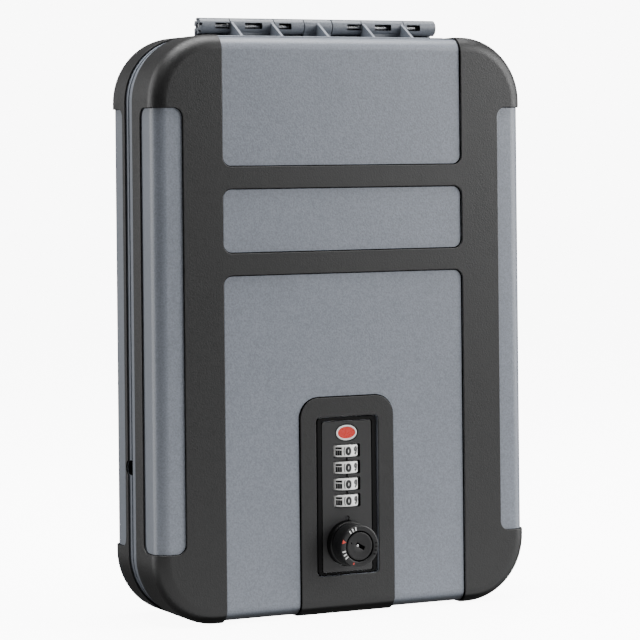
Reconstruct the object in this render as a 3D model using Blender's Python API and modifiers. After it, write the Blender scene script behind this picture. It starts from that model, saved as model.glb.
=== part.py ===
"""Key lock box: a hinged two-shell travel safe with a four-wheel combination lock.

Metres, +Z up. The box stands on its lower bumpers, the lock faces -Y and the hinge runs along
the top edge. The origin is on the ground, under the middle of the box.
"""

import math

import bmesh
import bpy
from mathutils import Matrix, Vector

# Driving dimensions -------------------------------------------------------------------------

# Outside of the bumpers
BODY_WIDTH = 0.1768
BODY_HEIGHT = 0.2472
CORNER_RADIUS = 0.0282
EDGE_RADIUS = 0.0066

# Shells
PROUD = 0.00095           # how far a bumper stands over the shell
WALL = 0.0030
GAP = 0.0003              # clearance between pieces that touch
FRONT_Y = -0.0192         # the lid's front face
BACK_Y = 0.02875          # the base's back face
LID_RIM_Y = 0.0080
BASE_RIM_Y = 0.0094
CORNER_SEGMENTS = 7
EDGE_SEGMENTS = 3

# Tongue on the base's rim, and the rebate for it in the lid's rim
TONGUE_OUTSET = 0.0018    # from the shell's outside to the tongue's outside
TONGUE_THICKNESS = 0.0015
TONGUE_REACH = 0.0053
REBATE_OUTSET = 0.0015
REBATE_DEPTH = 0.0044

# Bumpers
SKIN = PROUD - GAP
LID_BUMPER_RIM_Y = 0.0031
BASE_BUMPER_RIM_Y = 0.0112
PANEL_HALF_WIDTH = 0.0569
TOP_PANEL_Z = 0.1916
LABEL_PANEL_Z = (0.1552, 0.1824)
BOTTOM_PANEL_Z = 0.1460
PANEL_CORNER = 0.0040
STRIP_X = 0.0750
STRIP_Z = (0.0308, 0.2164)
STRIP_CORNER = 0.0040
LID_STRIP_Y = -0.0054
BASE_STRIP_Y = 0.0140

# Hinge
HINGE_Y = 0.0075
HINGE_Z = 0.2520
BARREL_RADIUS = 0.00345
BARREL_BORE = 0.0013
PIN_RADIUS = 0.0010
HINGE_X = (-0.0560, 0.0579)
KNUCKLE_ENDS = (0.0068, 0.0211, 0.0420)
KNUCKLE_GAP = 0.0004
SLOT_HALF_HEIGHT = 0.0013
BARREL_SEGMENTS = 20
# The tie walls' two faces, measured from the hinge's axis: the lid's, then the base's
WEB_SPANS = {-1: (0.0007, 0.0020), 1: (0.0021, 0.0033)}
RIB_THICKNESS = 0.0013
RIB_REACH = 0.0135
PLINTH_Y = (-0.0062, 0.0025)
PLINTH_TOP_Z = 0.2473
PLINTH_HALF_WIDTH = 0.0560

# Cable notch and the post inside that a cable loops round
NOTCH_Z = 0.0647
NOTCH_RADIUS = 0.0031
NOTCH_END_Y = 0.0132
POST_X = -0.0785
POST_RADIUS = 0.0035
POST_FRONT_Y = 0.0135

# Lock, centred on X = 0
SURROUND_HALF_WIDTH = 0.0221
SURROUND_TOP_Z = 0.0929
SURROUND_CORNER = 0.0085
SURROUND_PROUD = 0.00085
OPENING_HALF_WIDTH = 0.0148
OPENING_Z = (0.0169, 0.0847)
PLATE_HALF_WIDTH = 0.0117
PLATE_Z = (0.0183, 0.0824)
PLATE_THICKNESS = 0.0012
BEZEL_HALF_WIDTH = 0.0140
BEZEL_Z = (0.0172, 0.0842)
BEZEL_PROUD = 0.0007
HOUSING_HALF_WIDTH = 0.0165
HOUSING_Z = (0.0128, 0.0871)
HOUSING_BACK_Y = -0.0055
COVER_THICKNESS = 0.0010
BOSS_X = 0.0205
BOSS_Z = (0.0200, 0.0800)
BOSS_RADIUS = 0.0032

# Number wheels
WHEEL_COUNT = 4
TOP_WHEEL_Z = 0.06975
WHEEL_PITCH = 0.00709
WHEEL_RADIUS = 0.0070
WHEEL_WIDTH = 0.0049
WHEEL_BORE = 0.0034
WHEEL_SINK = 0.0046       # from the plate's face to the wheels' axis
WINDOW_SIZE = (0.0128, 0.0057)
POCKET_ANGLE = math.radians(-38)
AXLE_RADIUS = 0.0015
SLEEVE_RADIUS = 0.0030
SLEEVE_BORE = 0.0017
SLEEVE_WIDTH = 0.0060
SLIT_WIDTH = 0.0008

# Knob, key core, reset button and badge
KNOB_Z = 0.0303
KNOB_RADIUS = 0.0089
KNOB_FACE_Y = -0.0309
COLLAR_RADIUS = 0.0095
COLLAR_FRONT_Y = -0.0222
CORE_RADIUS = 0.0060
SPINDLE_RADIUS = 0.0040
SPINDLE_END_Y = 0.0006
RESET_Z = 0.0409
RESET_RADIUS = 0.0011
BADGE_Z = 0.0775
BADGE_SIZE = (0.0095, 0.0066)

# Latch: the cam on the lid swings down behind the keeper's lip on the base
CAM_LENGTH = 0.0180
CAM_HALF_WIDTH = 0.0040
CAM_Y = (0.0009, 0.0024)
LIP_Y = (-0.0013, 0.0002)
LIP_TOP_Z = 0.0158
KEEPER_Z = (0.0050, 0.0065)
KEEPER_HALF_WIDTH = 0.0080
KEEPER_SCREW_Y = 0.0170
KEEPER_SCREW_X = 0.0046

# Foam
FOAM_THICKNESS = 0.0057
BASE_FOAM_HALF_WIDTH = 0.0720
BASE_FOAM_Z = (0.0160, 0.2340)
LID_FOAM_HALF_WIDTH = 0.0760
LID_FOAM_Z = (0.0910, 0.2340)
FOAM_CORNER = 0.0180

# Worked out from the above
SHELL_INSET = PROUD
HALF_WIDTH = BODY_WIDTH / 2
INNER_FRONT_Y = FRONT_Y + WALL
INNER_BACK_Y = BACK_Y - WALL
PLATE_BACK_Y = FRONT_Y + PLATE_THICKNESS
HOUSING_FRONT_Y = PLATE_BACK_Y + GAP
WHEEL_Y = FRONT_Y + WHEEL_SINK
WHEEL_Z = [TOP_WHEEL_Z - i * WHEEL_PITCH for i in range(WHEEL_COUNT)]
COVER_FRONT_Y = HOUSING_BACK_Y + GAP
COVER_BACK_Y = COVER_FRONT_Y + COVER_THICKNESS
FAR = 0.05                # how far a cutter runs past the body
FRONTWARD = (math.pi / 2, 0, 0)    # turns a piece's own +Z to face -Y
SIDEWARD = (0, math.pi / 2, 0)     # turns a piece's own +Z to face +X
UPRIGHT = (0, 0, 0)

# Scene --------------------------------------------------------------------------------------

for old in list(bpy.data.objects):
    bpy.data.objects.remove(old, do_unlink=True)

PARTS = bpy.data.collections.new("key_lock_box")
CUTTERS = bpy.data.collections.new("key_lock_box_cutters")
bpy.context.scene.collection.children.link(PARTS)
bpy.context.scene.collection.children.link(CUTTERS)


def material(name, color, roughness, metallic=0.0):
    made = bpy.data.materials.new(name)
    made.use_nodes = True
    shader = made.node_tree.nodes["Principled BSDF"]
    shader.inputs["Base Color"].default_value = (*color, 1.0)
    shader.inputs["Roughness"].default_value = roughness
    shader.inputs["Metallic"].default_value = metallic
    return made


SHELL_GREY = material("shell_grey", (0.24, 0.26, 0.30), 0.45)
BUMPER_BLACK = material("bumper_black", (0.045, 0.045, 0.048), 0.55)
PLATE_BLACK = material("plate_black", (0.055, 0.055, 0.058), 0.35)
KNOB_BLACK = material("knob_black", (0.040, 0.040, 0.042), 0.30)
DIAL_WHITE = material("dial_white", (0.80, 0.80, 0.78), 0.40)
BADGE_RED = material("badge_red", (0.75, 0.06, 0.05), 0.30)
STEEL = material("steel", (0.60, 0.60, 0.62), 0.30, 1.0)
SPRING_STEEL = material("spring_steel", (0.50, 0.50, 0.52), 0.25, 1.0)
ZINC = material("die_cast_zinc", (0.42, 0.43, 0.45), 0.45, 1.0)
BRASS = material("brass", (0.72, 0.55, 0.25), 0.30, 1.0)
FOAM = material("foam", (0.05, 0.05, 0.055), 0.95)


# Building blocks ----------------------------------------------------------------------------


def place(name, mesh, finish, location=(0, 0, 0), rotation=UPRIGHT):
    """A part of the box, or a cutter where finish is None."""
    thing = bpy.data.objects.new(name, mesh)
    thing.location = location
    thing.rotation_euler = rotation
    if finish is None:
        thing.hide_render = True
        thing.display_type = "WIRE"
        CUTTERS.objects.link(thing)
    else:
        mesh.materials.append(finish)
        mesh.shade_smooth()
        mesh.set_sharp_from_angle(angle=math.radians(35))
        PARTS.objects.link(thing)
    return thing


def mesh_from(bm, name):
    bmesh.ops.recalc_face_normals(bm, faces=bm.faces)
    mesh = bpy.data.meshes.new(name)
    bm.to_mesh(mesh)
    bm.free()
    return mesh


def runs_along(edge, axis):
    """True where the edge is parallel to axis 0, 1 or 2."""
    line = edge.verts[1].co - edge.verts[0].co
    return abs(line[axis]) > 0.999 * line.length


def cube(low, high):
    """A closed box between two opposite corners."""
    low, high = Vector(low), Vector(high)
    bm = bmesh.new()
    size = high - low
    matrix = Matrix.Translation((low + high) / 2) @ Matrix.Diagonal((*size, 1.0))
    bmesh.ops.create_cube(bm, size=1.0, matrix=matrix)
    return bm


def block(name, low, high, finish=None, radius=0.0, along=1, segments=4):
    """A box whose edges parallel to axis `along` are rounded."""
    bm = cube(low, high)
    if radius:
        edges = [e for e in bm.edges if runs_along(e, along)]
        bmesh.ops.bevel(bm, geom=edges, offset=radius, segments=segments, profile=0.5,
                        affect="EDGES", clamp_overlap=False)
    return place(name, mesh_from(bm, name), finish)


def rod(name, radius, start, length, finish=None, rotation=UPRIGHT, segments=24):
    """A cylinder from start, along its own +Z as turned by rotation."""
    bm = bmesh.new()
    matrix = Matrix.Translation((0, 0, length / 2))
    bmesh.ops.create_cone(bm, cap_ends=True, segments=segments, radius1=radius, radius2=radius,
                          depth=length, matrix=matrix)
    return place(name, mesh_from(bm, name), finish, start, rotation)


def turned(name, profile, finish, location, rotation=UPRIGHT, steps=32):
    """A profile of (radius, height) points, closed on itself or on the axis, turned round Z."""
    mesh = bpy.data.meshes.new(name)
    points = [(radius, 0, height) for radius, height in profile]
    count = len(points)
    on_axis = profile[0][0] == 0 and profile[-1][0] == 0
    edges = [(i, i + 1) for i in range(count - 1)]
    if not on_axis:
        edges.append((count - 1, 0))
    mesh.from_pydata(points, edges, [])
    thing = place(name, mesh, finish, location, rotation)
    screw = thing.modifiers.new("turn", "SCREW")
    screw.axis = "Z"
    screw.angle = 2 * math.pi
    screw.steps = screw.render_steps = steps
    screw.use_merge_vertices = True
    screw.merge_threshold = 0.00001
    screw.use_smooth_shade = False
    return thing


def ring(outer, inner, width):
    """The closed profile of a plain ring, from its base at height 0."""
    return [(outer, width), (outer, 0), (inner, 0), (inner, width)]


def boolean(target, operation, *others):
    for other in others:
        modifier = target.modifiers.new(f"{operation.lower()} {other.name}", "BOOLEAN")
        modifier.operation = operation
        modifier.solver = "EXACT"
        modifier.object = other
    return target


def cut(target, *cutters):
    return boolean(target, "DIFFERENCE", *cutters)


def join(target, *pieces):
    return boolean(target, "UNION", *pieces)


def tray(inset, face_y, rim_y):
    """A tray-shaped surface, open at rim_y, this far inside the bumpers' outline."""
    half = HALF_WIDTH - inset
    low = (-half, min(face_y, rim_y), inset)
    high = (half, max(face_y, rim_y), BODY_HEIGHT - inset)
    bm = cube(low, high)
    corners = [e for e in bm.edges if runs_along(e, 1)]
    bmesh.ops.bevel(bm, geom=corners, offset=CORNER_RADIUS - inset, segments=CORNER_SEGMENTS,
                    profile=0.5, affect="EDGES", clamp_overlap=False)
    on_face = [e for e in bm.edges if all(abs(v.co.y - face_y) < 1e-6 for v in e.verts)]
    bmesh.ops.bevel(bm, geom=on_face, offset=EDGE_RADIUS - inset, segments=EDGE_SEGMENTS,
                    profile=0.5, affect="EDGES", clamp_overlap=False)
    at_rim = [f for f in bm.faces if all(abs(v.co.y - rim_y) < 1e-6 for v in f.verts)]
    bmesh.ops.recalc_face_normals(bm, faces=bm.faces)
    bmesh.ops.delete(bm, geom=at_rim, context="FACES")
    return bm


def shell(name, inset, face_y, rim_y, thickness, finish):
    """A tray with walls of this thickness, its outside at the inset given."""
    bm = tray(inset, face_y, rim_y)
    mesh = bpy.data.meshes.new(name)
    bm.to_mesh(mesh)
    bm.free()
    thing = place(name, mesh, finish)
    add_wall(thing, thickness)
    return thing


def add_wall(thing, thickness):
    """Thickens an open surface inward."""
    solidify = thing.modifiers.new("wall", "SOLIDIFY")
    solidify.thickness = thickness
    solidify.offset = -1
    solidify.use_even_offset = True


def rim_prism(name, outset, y_low, y_high):
    """A solid prism of the shells' outline, this far inside the shell's outside."""
    inset = SHELL_INSET + outset
    half = HALF_WIDTH - inset
    return block(name, (-half, y_low, inset), (half, y_high, BODY_HEIGHT - inset),
                 radius=CORNER_RADIUS - inset, segments=CORNER_SEGMENTS)


def rim_ring(name, outset, thickness, y_low, y_high):
    """A thin wall that follows the shells' outline, this far inside the shell's outside."""
    made = rim_prism(name, outset, y_low, y_high)
    bm = bmesh.new()
    bm.from_mesh(made.data)
    ends = [f for f in bm.faces if abs(f.normal.y) > 0.9]
    bmesh.ops.delete(bm, geom=ends, context="FACES")
    bm.to_mesh(made.data)
    bm.free()
    add_wall(made, thickness)
    return made


def frontward_rod(name, radius, x, z, front_y, back_y, finish=None, segments=24):
    """A cylinder along Y between two depths."""
    return rod(name, radius, (x, back_y, z), back_y - front_y, finish, FRONTWARD, segments)


# Case ---------------------------------------------------------------------------------------


def panel_windows(prefix, y_low, y_high):
    """The three window cutters in the face of a bumper: top, label and bottom."""
    half = PANEL_HALF_WIDTH
    spans = {
        "top": (TOP_PANEL_Z, BODY_HEIGHT + FAR),
        "label": LABEL_PANEL_Z,
        "bottom": (-FAR, BOTTOM_PANEL_Z),
    }
    return [
        block(f"{prefix}_{name}_window", (-half, y_low, z_low), (half, y_high, z_high),
              radius=PANEL_CORNER)
        for name, (z_low, z_high) in spans.items()
    ]


def strip_window(name, side, inner_y, outer_y):
    """A window that wraps from a bumper's face round to its side; side is -1 or 1."""
    x_low, x_high = sorted((side * STRIP_X, side * (HALF_WIDTH + FAR)))
    y_low, y_high = sorted((inner_y, outer_y))
    bm = cube((x_low, y_low, STRIP_Z[0]), (x_high, y_high, STRIP_Z[1]))
    on_face = [e for e in bm.edges if runs_along(e, 1)
               and abs(e.verts[0].co.x - side * STRIP_X) < 1e-6]
    on_side = [e for e in bm.edges if runs_along(e, 0)
               and abs(e.verts[0].co.y - inner_y) < 1e-6]
    bmesh.ops.bevel(bm, geom=on_face + on_side, offset=STRIP_CORNER, segments=3, profile=0.5,
                    affect="EDGES", clamp_overlap=False)
    return place(name, mesh_from(bm, name), None)


def bumper(name, face_y, rim_y, strip_y):
    """A black frame over one shell, with windows where the grey shell shows."""
    outward = -1 if face_y < rim_y else 1
    made = shell(name, 0, face_y + outward * PROUD, rim_y, SKIN, BUMPER_BLACK)
    y_span = sorted((face_y + outward * FAR, rim_y - outward * FAR))
    cut(made, *panel_windows(name, *y_span))
    for side in (-1, 1):
        label = "left" if side < 0 else "right"
        cut(made, strip_window(f"{name}_{label}_strip", side, strip_y, face_y + outward * FAR))
    return made


def knuckle_span(low, high):
    """A knuckle's ends, drawn in by half the gap to its neighbours."""
    low_gap = 0 if low == HINGE_X[0] else KNUCKLE_GAP / 2
    high_gap = 0 if high == HINGE_X[1] else KNUCKLE_GAP / 2
    return low + low_gap, high - high_gap


def prism_x(name, outline, low, high):
    """A solid with this (y, z) outline, running along X between low and high."""
    bm = bmesh.new()
    verts = [bm.verts.new((low, y, z)) for y, z in outline]
    grown = bmesh.ops.extrude_face_region(bm, geom=[bm.faces.new(verts)])
    moved = [v for v in grown["geom"] if isinstance(v, bmesh.types.BMVert)]
    bmesh.ops.translate(bm, verts=moved, vec=(high - low, 0, 0))
    bmesh.ops.recalc_face_normals(bm, faces=bm.faces)
    return place(name, mesh_from(bm, name), None)


def knuckle(name, low, high, side):
    """A barrel with the wall that ties it to its shell; side is -1 for the lid, 1 for the base."""
    near, far = WEB_SPANS[side]
    start, end = -math.acos(near / BARREL_RADIUS), -math.acos(far / BARREL_RADIUS) - 2 * math.pi
    arc = [start + (end - start) * i / BARREL_SEGMENTS for i in range(BARREL_SEGMENTS + 1)]
    outline = [(HINGE_Y + side * BARREL_RADIUS * math.cos(a), HINGE_Z + BARREL_RADIUS * math.sin(a))
               for a in arc]
    foot_z = BODY_HEIGHT - PROUD - 0.0007
    outline += [(HINGE_Y + side * far, foot_z), (HINGE_Y + side * near, foot_z)]
    return prism_x(name, outline, low, high)


def rib(name, x):
    """A three-cornered gusset from the top of the barrel forward to the lid's top wall."""
    foot_z = BODY_HEIGHT - PROUD - 0.0010
    top_z = HINGE_Z + BARREL_RADIUS - 0.0003
    outline = [
        (HINGE_Y - 0.0004, top_z),
        (HINGE_Y - RIB_REACH, foot_z + 0.0012),
        (HINGE_Y - RIB_REACH, foot_z),
        (HINGE_Y - 0.0018, foot_z),
        (HINGE_Y - 0.0004, HINGE_Z + 0.0018),
    ]
    return prism_x(name, outline, x - RIB_THICKNESS / 2, x + RIB_THICKNESS / 2)


def add_knuckles(target, prefix, spans, slots, side):
    """Knuckles joined to a shell, then bored for the pin and slotted."""
    for number, (low, high) in enumerate(spans, start=1):
        low, high = knuckle_span(low, high)
        join(target, knuckle(f"{prefix}_knuckle_{number}", low, high, side))
    for number, (low, high) in enumerate(slots, start=1):
        cut(target, block(f"{prefix}_slot_{number}",
                          (low, HINGE_Y - FAR / 2, HINGE_Z - SLOT_HALF_HEIGHT),
                          (high, HINGE_Y - 0.0005, HINGE_Z + SLOT_HALF_HEIGHT)))
    bore_start = (HINGE_X[0] - FAR / 10, HINGE_Y, HINGE_Z)
    bore_length = HINGE_X[1] - HINGE_X[0] + FAR / 5
    cut(target, rod(f"{prefix}_bore", BARREL_BORE, bore_start, bore_length, None, SIDEWARD, 12))


def make_base_shell():
    base = shell("base_shell", SHELL_INSET, BACK_Y, BASE_RIM_Y, WALL, SHELL_GREY)

    pad_low = (-0.0100, 0.0130, SHELL_INSET + WALL - 0.0005)
    pad_high = (0.0100, 0.0230, KEEPER_Z[0] - GAP)
    join(base, block("keeper_pad", pad_low, pad_high))
    join(base, frontward_rod("cable_post", POST_RADIUS, POST_X, NOTCH_Z, POST_FRONT_Y,
                             INNER_BACK_Y + 0.0010, segments=16))

    inner, middle, outer = KNUCKLE_ENDS
    spans = [(HINGE_X[0], -outer), (-middle, -inner), (inner, middle), (outer, HINGE_X[1])]
    slots = [(-0.0490, -0.0400), (-0.0190, -0.0130), (0.0140, 0.0230), (0.0435, 0.0500)]
    add_knuckles(base, "base", spans, slots, 1)
    join(base, rim_ring("base_tongue", TONGUE_OUTSET, TONGUE_THICKNESS,
                        BASE_RIM_Y - TONGUE_REACH, BASE_RIM_Y + 0.0028))

    cut(base, cable_notch("base_notch"))
    for number, x in enumerate((-KEEPER_SCREW_X, KEEPER_SCREW_X), start=1):
        start = (x, KEEPER_SCREW_Y, SHELL_INSET + 0.0012)
        cut(base, rod(f"keeper_hole_{number}", 0.0015, start, 0.0100, segments=12))
    return base


def cable_notch(name):
    """A round-ended slot in the base's left rim, long side along Y."""
    low = (-HALF_WIDTH - 0.002, BASE_RIM_Y - 0.0080, NOTCH_Z - NOTCH_RADIUS)
    high = (-HALF_WIDTH + 0.008, NOTCH_END_Y, NOTCH_Z + NOTCH_RADIUS)
    bm = cube(low, high)
    ends = [e for e in bm.edges if runs_along(e, 0) and e.verts[0].co.y > NOTCH_END_Y - 1e-6]
    bmesh.ops.bevel(bm, geom=ends, offset=NOTCH_RADIUS * 0.98, segments=4, profile=0.5,
                    affect="EDGES", clamp_overlap=False)
    return place(name, mesh_from(bm, name), None)


def make_lid_shell():
    lid = shell("lid_shell", SHELL_INSET, FRONT_Y, LID_RIM_Y, WALL, SHELL_GREY)
    cut(lid, rim_prism("lid_rebate", REBATE_OUTSET, LID_RIM_Y - REBATE_DEPTH, LID_RIM_Y + 0.004))

    for row, z in enumerate(BOSS_Z):
        for column, x in enumerate((-BOSS_X, BOSS_X)):
            join(lid, frontward_rod(f"boss_{row}_{column}", BOSS_RADIUS, x, z,
                                    INNER_FRONT_Y - 0.0010, HOUSING_BACK_Y, segments=16))
            cut(lid, frontward_rod(f"boss_hole_{row}_{column}", 0.0015, x, z,
                                   HOUSING_BACK_Y - 0.0070, 0, segments=12))
    cut(lid, block("lock_opening", (-OPENING_HALF_WIDTH, FRONT_Y - 0.002, OPENING_Z[0]),
                   (OPENING_HALF_WIDTH, INNER_FRONT_Y + 0.002, OPENING_Z[1]), radius=0.0015))

    inner, middle, outer = KNUCKLE_ENDS
    spans = [(-outer, -middle), (-inner, inner), (middle, outer)]
    slots = [(-0.0350, -0.0270), (0.0276, 0.0356)]
    join(lid, block("hinge_plinth", (-PLINTH_HALF_WIDTH, PLINTH_Y[0], BODY_HEIGHT - PROUD - 0.0010),
                    (PLINTH_HALF_WIDTH, PLINTH_Y[1], PLINTH_TOP_Z)))
    inside = KNUCKLE_GAP / 2 + RIB_THICKNESS / 2 + 0.00015
    for number, x in enumerate((-outer + inside, -middle - inside, 0, middle + inside, outer - inside)):
        join(lid, rib(f"lid_rib_{number}", x))
    add_knuckles(lid, "lid", spans, slots, -1)
    return lid


def make_case():
    make_base_shell()
    make_lid_shell()
    bumper("lid_bumper", FRONT_Y, LID_BUMPER_RIM_Y, LID_STRIP_Y)
    cut(bumper("base_bumper", BACK_Y, BASE_BUMPER_RIM_Y, BASE_STRIP_Y), cable_notch("bumper_notch"))

    pin_start = (HINGE_X[0] + 0.0006, HINGE_Y, HINGE_Z)
    rod("hinge_pin", PIN_RADIUS, pin_start, HINGE_X[1] - HINGE_X[0] - 0.0012, STEEL, SIDEWARD, 12)

    base_half, lid_half = BASE_FOAM_HALF_WIDTH, LID_FOAM_HALF_WIDTH
    back, front = INNER_BACK_Y - GAP, INNER_FRONT_Y + GAP
    block("base_foam", (-base_half, back - FOAM_THICKNESS, BASE_FOAM_Z[0]),
          (base_half, back, BASE_FOAM_Z[1]), FOAM, FOAM_CORNER)
    block("lid_foam", (-lid_half, front, LID_FOAM_Z[0]),
          (lid_half, front + FOAM_THICKNESS, LID_FOAM_Z[1]), FOAM, FOAM_CORNER / 2)


# Lock body ----------------------------------------------------------------------------------


def make_surround():
    """The black band round the lock, which runs on down and under the lid's bottom edge."""
    made = shell("lock_surround", PROUD - SURROUND_PROUD, FRONT_Y - SURROUND_PROUD,
                 LID_BUMPER_RIM_Y, SURROUND_PROUD - GAP, BUMPER_BLACK)
    column = block("surround_column", (-SURROUND_HALF_WIDTH, -FAR, -FAR),
                   (SURROUND_HALF_WIDTH, FAR, SURROUND_TOP_Z), radius=SURROUND_CORNER, segments=5)
    boolean(made, "INTERSECT", column)
    cut(made, block("surround_opening", (-OPENING_HALF_WIDTH, -FAR, OPENING_Z[0]),
                    (OPENING_HALF_WIDTH, 0, OPENING_Z[1]), radius=0.0015))


def make_bezel():
    low_z, high_z = BEZEL_Z
    back_y = HOUSING_FRONT_Y - GAP
    made = block("lock_bezel", (-BEZEL_HALF_WIDTH, FRONT_Y - BEZEL_PROUD, low_z),
                 (BEZEL_HALF_WIDTH, back_y, high_z), PLATE_BLACK, 0.0016)
    inside = PLATE_HALF_WIDTH + GAP
    cut(made, block("bezel_opening", (-inside, -FAR, PLATE_Z[0] - GAP),
                    (inside, 0, PLATE_Z[1] + GAP), radius=0.0012))


def badge_outline(name, grow, front_y, back_y, finish=None):
    """An upright-sided oval slab, this much larger all round than the badge."""
    bm = bmesh.new()
    half_x, half_z = BADGE_SIZE[0] / 2 + grow, BADGE_SIZE[1] / 2 + grow
    matrix = (Matrix.Translation((0, (front_y + back_y) / 2, BADGE_Z))
              @ Matrix.Rotation(math.pi / 2, 4, "X")
              @ Matrix.Diagonal((half_x, half_z, 1.0, 1.0)))
    bmesh.ops.create_cone(bm, cap_ends=True, segments=28, radius1=1, radius2=1,
                          depth=back_y - front_y, matrix=matrix)
    return place(name, mesh_from(bm, name), finish)


def make_plate():
    made = block("lock_plate", (-PLATE_HALF_WIDTH, FRONT_Y, PLATE_Z[0]),
                 (PLATE_HALF_WIDTH, PLATE_BACK_Y, PLATE_Z[1]), PLATE_BLACK, 0.0010)
    half_x, half_z = WINDOW_SIZE[0] / 2, WINDOW_SIZE[1] / 2
    for number, z in enumerate(WHEEL_Z, start=1):
        cut(made, block(f"wheel_window_{number}", (-half_x, -FAR, z - half_z),
                        (half_x, 0, z + half_z), radius=0.0007, segments=3))
    cut(made, block("sight_slit", (-SLIT_WIDTH / 2, -FAR, WHEEL_Z[-1]),
                    (SLIT_WIDTH / 2, 0, WHEEL_Z[0])))
    cut(made, frontward_rod("plate_knob_hole", COLLAR_RADIUS + GAP, 0, KNOB_Z, -FAR, 0,
                            segments=32))
    cut(made, frontward_rod("plate_reset_hole", RESET_RADIUS, 0, RESET_Z, -FAR, 0, segments=16))
    cut(made, badge_outline("badge_recess", 0.0006, FRONT_Y - 0.002, FRONT_Y + 0.0006))
    badge_outline("lock_badge", 0, FRONT_Y - 0.0001, FRONT_Y + 0.0006 - GAP, BADGE_RED)


def make_housing():
    """The die-cast body behind the plate: wheel bays, spindle bore and reset bore."""
    half = HOUSING_HALF_WIDTH
    made = block("lock_housing", (-half, INNER_FRONT_Y + GAP, HOUSING_Z[0]),
                 (half, HOUSING_BACK_Y, HOUSING_Z[1]), ZINC, 0.0015)
    nose = BEZEL_HALF_WIDTH - 0.0004
    join(made, block("housing_nose", (-nose, HOUSING_FRONT_Y, BEZEL_Z[0] + 0.0004),
                     (nose, INNER_FRONT_Y + 0.0010, BEZEL_Z[1] - 0.0004)))

    bay_x, bay_z = WHEEL_RADIUS + 0.0004, WHEEL_WIDTH / 2 + 0.0003
    for number, z in enumerate(WHEEL_Z, start=1):
        cut(made, block(f"wheel_bay_{number}", (-bay_x, -FAR, z - bay_z),
                        (bay_x, HOUSING_BACK_Y - 0.0017, z + bay_z)))
        cut(made, rod(f"sleeve_bore_{number}", SLEEVE_RADIUS + 0.0004,
                      (0, WHEEL_Y, z - SLEEVE_WIDTH / 2 - 0.0003), SLEEVE_WIDTH + 0.0006,
                      segments=20))
    cut(made, block("spring_bay", (-0.0045, HOUSING_BACK_Y - 0.0021, WHEEL_Z[-1] - 0.0035),
                    (0.0045, 0, WHEEL_Z[0] + 0.0060)))

    axle_low, axle_high = axle_span()
    cut(made, rod("axle_bore", AXLE_RADIUS + 0.0002, (0, WHEEL_Y, axle_low - GAP),
                  axle_high - axle_low + 2 * GAP, segments=16))
    cut(made, frontward_rod("spindle_bore", SPINDLE_RADIUS + 0.0002, 0, KNOB_Z, -FAR, FAR,
                            segments=24))
    cut(made, frontward_rod("reset_bore", 0.0022, 0, RESET_Z, -FAR, HOUSING_BACK_Y - 0.0025,
                            segments=20))


def axle_span():
    return WHEEL_Z[-1] - 0.0045, WHEEL_Z[0] + 0.0055


def make_cover():
    """The steel plate that closes the housing and screws it to the lid's bosses."""
    ear = BOSS_X + 0.0035
    made = block("housing_cover", (-ear, COVER_FRONT_Y, HOUSING_Z[0] + 0.0020),
                 (ear, COVER_BACK_Y, HOUSING_Z[1] - 0.0020), STEEL, 0.0025)
    waist_z = (BOSS_Z[0] + 0.0065, BOSS_Z[1] - 0.0065)
    for side in (-1, 1):
        x_low, x_high = sorted((side * (HOUSING_HALF_WIDTH - 0.0006), side * FAR))
        cut(made, block(f"cover_waist_{side + 1}", (x_low, -FAR, waist_z[0]),
                        (x_high, FAR, waist_z[1]), radius=0.0015))
    cut(made, frontward_rod("cover_spindle_hole", SPINDLE_RADIUS + 0.0005, 0, KNOB_Z, -FAR, FAR))
    number = 0
    for z in BOSS_Z:
        for x in (-BOSS_X, BOSS_X):
            number += 1
            cut(made, frontward_rod(f"cover_hole_{number}", 0.0015, x, z, -FAR, FAR, segments=16))
            screw(f"cover_screw_{number}", (x, COVER_BACK_Y + GAP, z), 0.0070, (-math.pi / 2, 0, 0))


def screw(name, head_seat, length, rotation):
    """A cross-head screw whose head sits on head_seat and stands along its own +Z."""
    head, shank = 0.0024, 0.0012
    profile = [(0, 0.0016), (head * 0.6, 0.0016), (head, 0.0009), (head, 0),
               (shank, 0), (shank, -length + 0.0008), (0, -length)]
    made = turned(name, profile, STEEL, head_seat, rotation, 12)
    for number in range(2):
        size = (0.0011, 0.0002) if number else (0.0002, 0.0011)
        arm = block(f"{name}_cross_{number}", (-size[0], -size[1], 0.0008),
                    (size[0], size[1], 0.0030))
        arm.location = head_seat
        arm.rotation_euler = rotation
        cut(made, arm)
    return made


# Moving pieces of the lock ------------------------------------------------------------------


def make_wheels():
    """Number wheels with their clutch sleeves, all turning on one upright axle."""
    for number, z in enumerate(WHEEL_Z, start=1):
        base_z = z - WHEEL_WIDTH / 2
        rim, bore, edge = WHEEL_RADIUS, WHEEL_BORE, 0.0003
        profile = [(rim - edge, WHEEL_WIDTH), (rim, WHEEL_WIDTH - edge), (rim, edge),
                   (rim - edge, 0), (bore, 0), (bore, WHEEL_WIDTH)]
        wheel = turned(f"number_wheel_{number}", profile, DIAL_WHITE, (0, WHEEL_Y, base_z), steps=36)
        cut(wheel, wheel_pocket(f"wheel_pocket_{number}", z), sleeve_key(f"wheel_notch_{number}", z, 0.0003))

        sleeve_profile = ring(SLEEVE_RADIUS, SLEEVE_BORE, SLEEVE_WIDTH)
        sleeve = turned(f"clutch_sleeve_{number}", sleeve_profile, BRASS,
                        (0, WHEEL_Y, z - SLEEVE_WIDTH / 2), steps=20)
        join(sleeve, sleeve_key(f"sleeve_key_{number}", z, 0))

    axle_low, axle_high = axle_span()
    rod("dial_axle", AXLE_RADIUS, (0, WHEEL_Y, axle_low), axle_high - axle_low, STEEL, segments=16)


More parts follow.
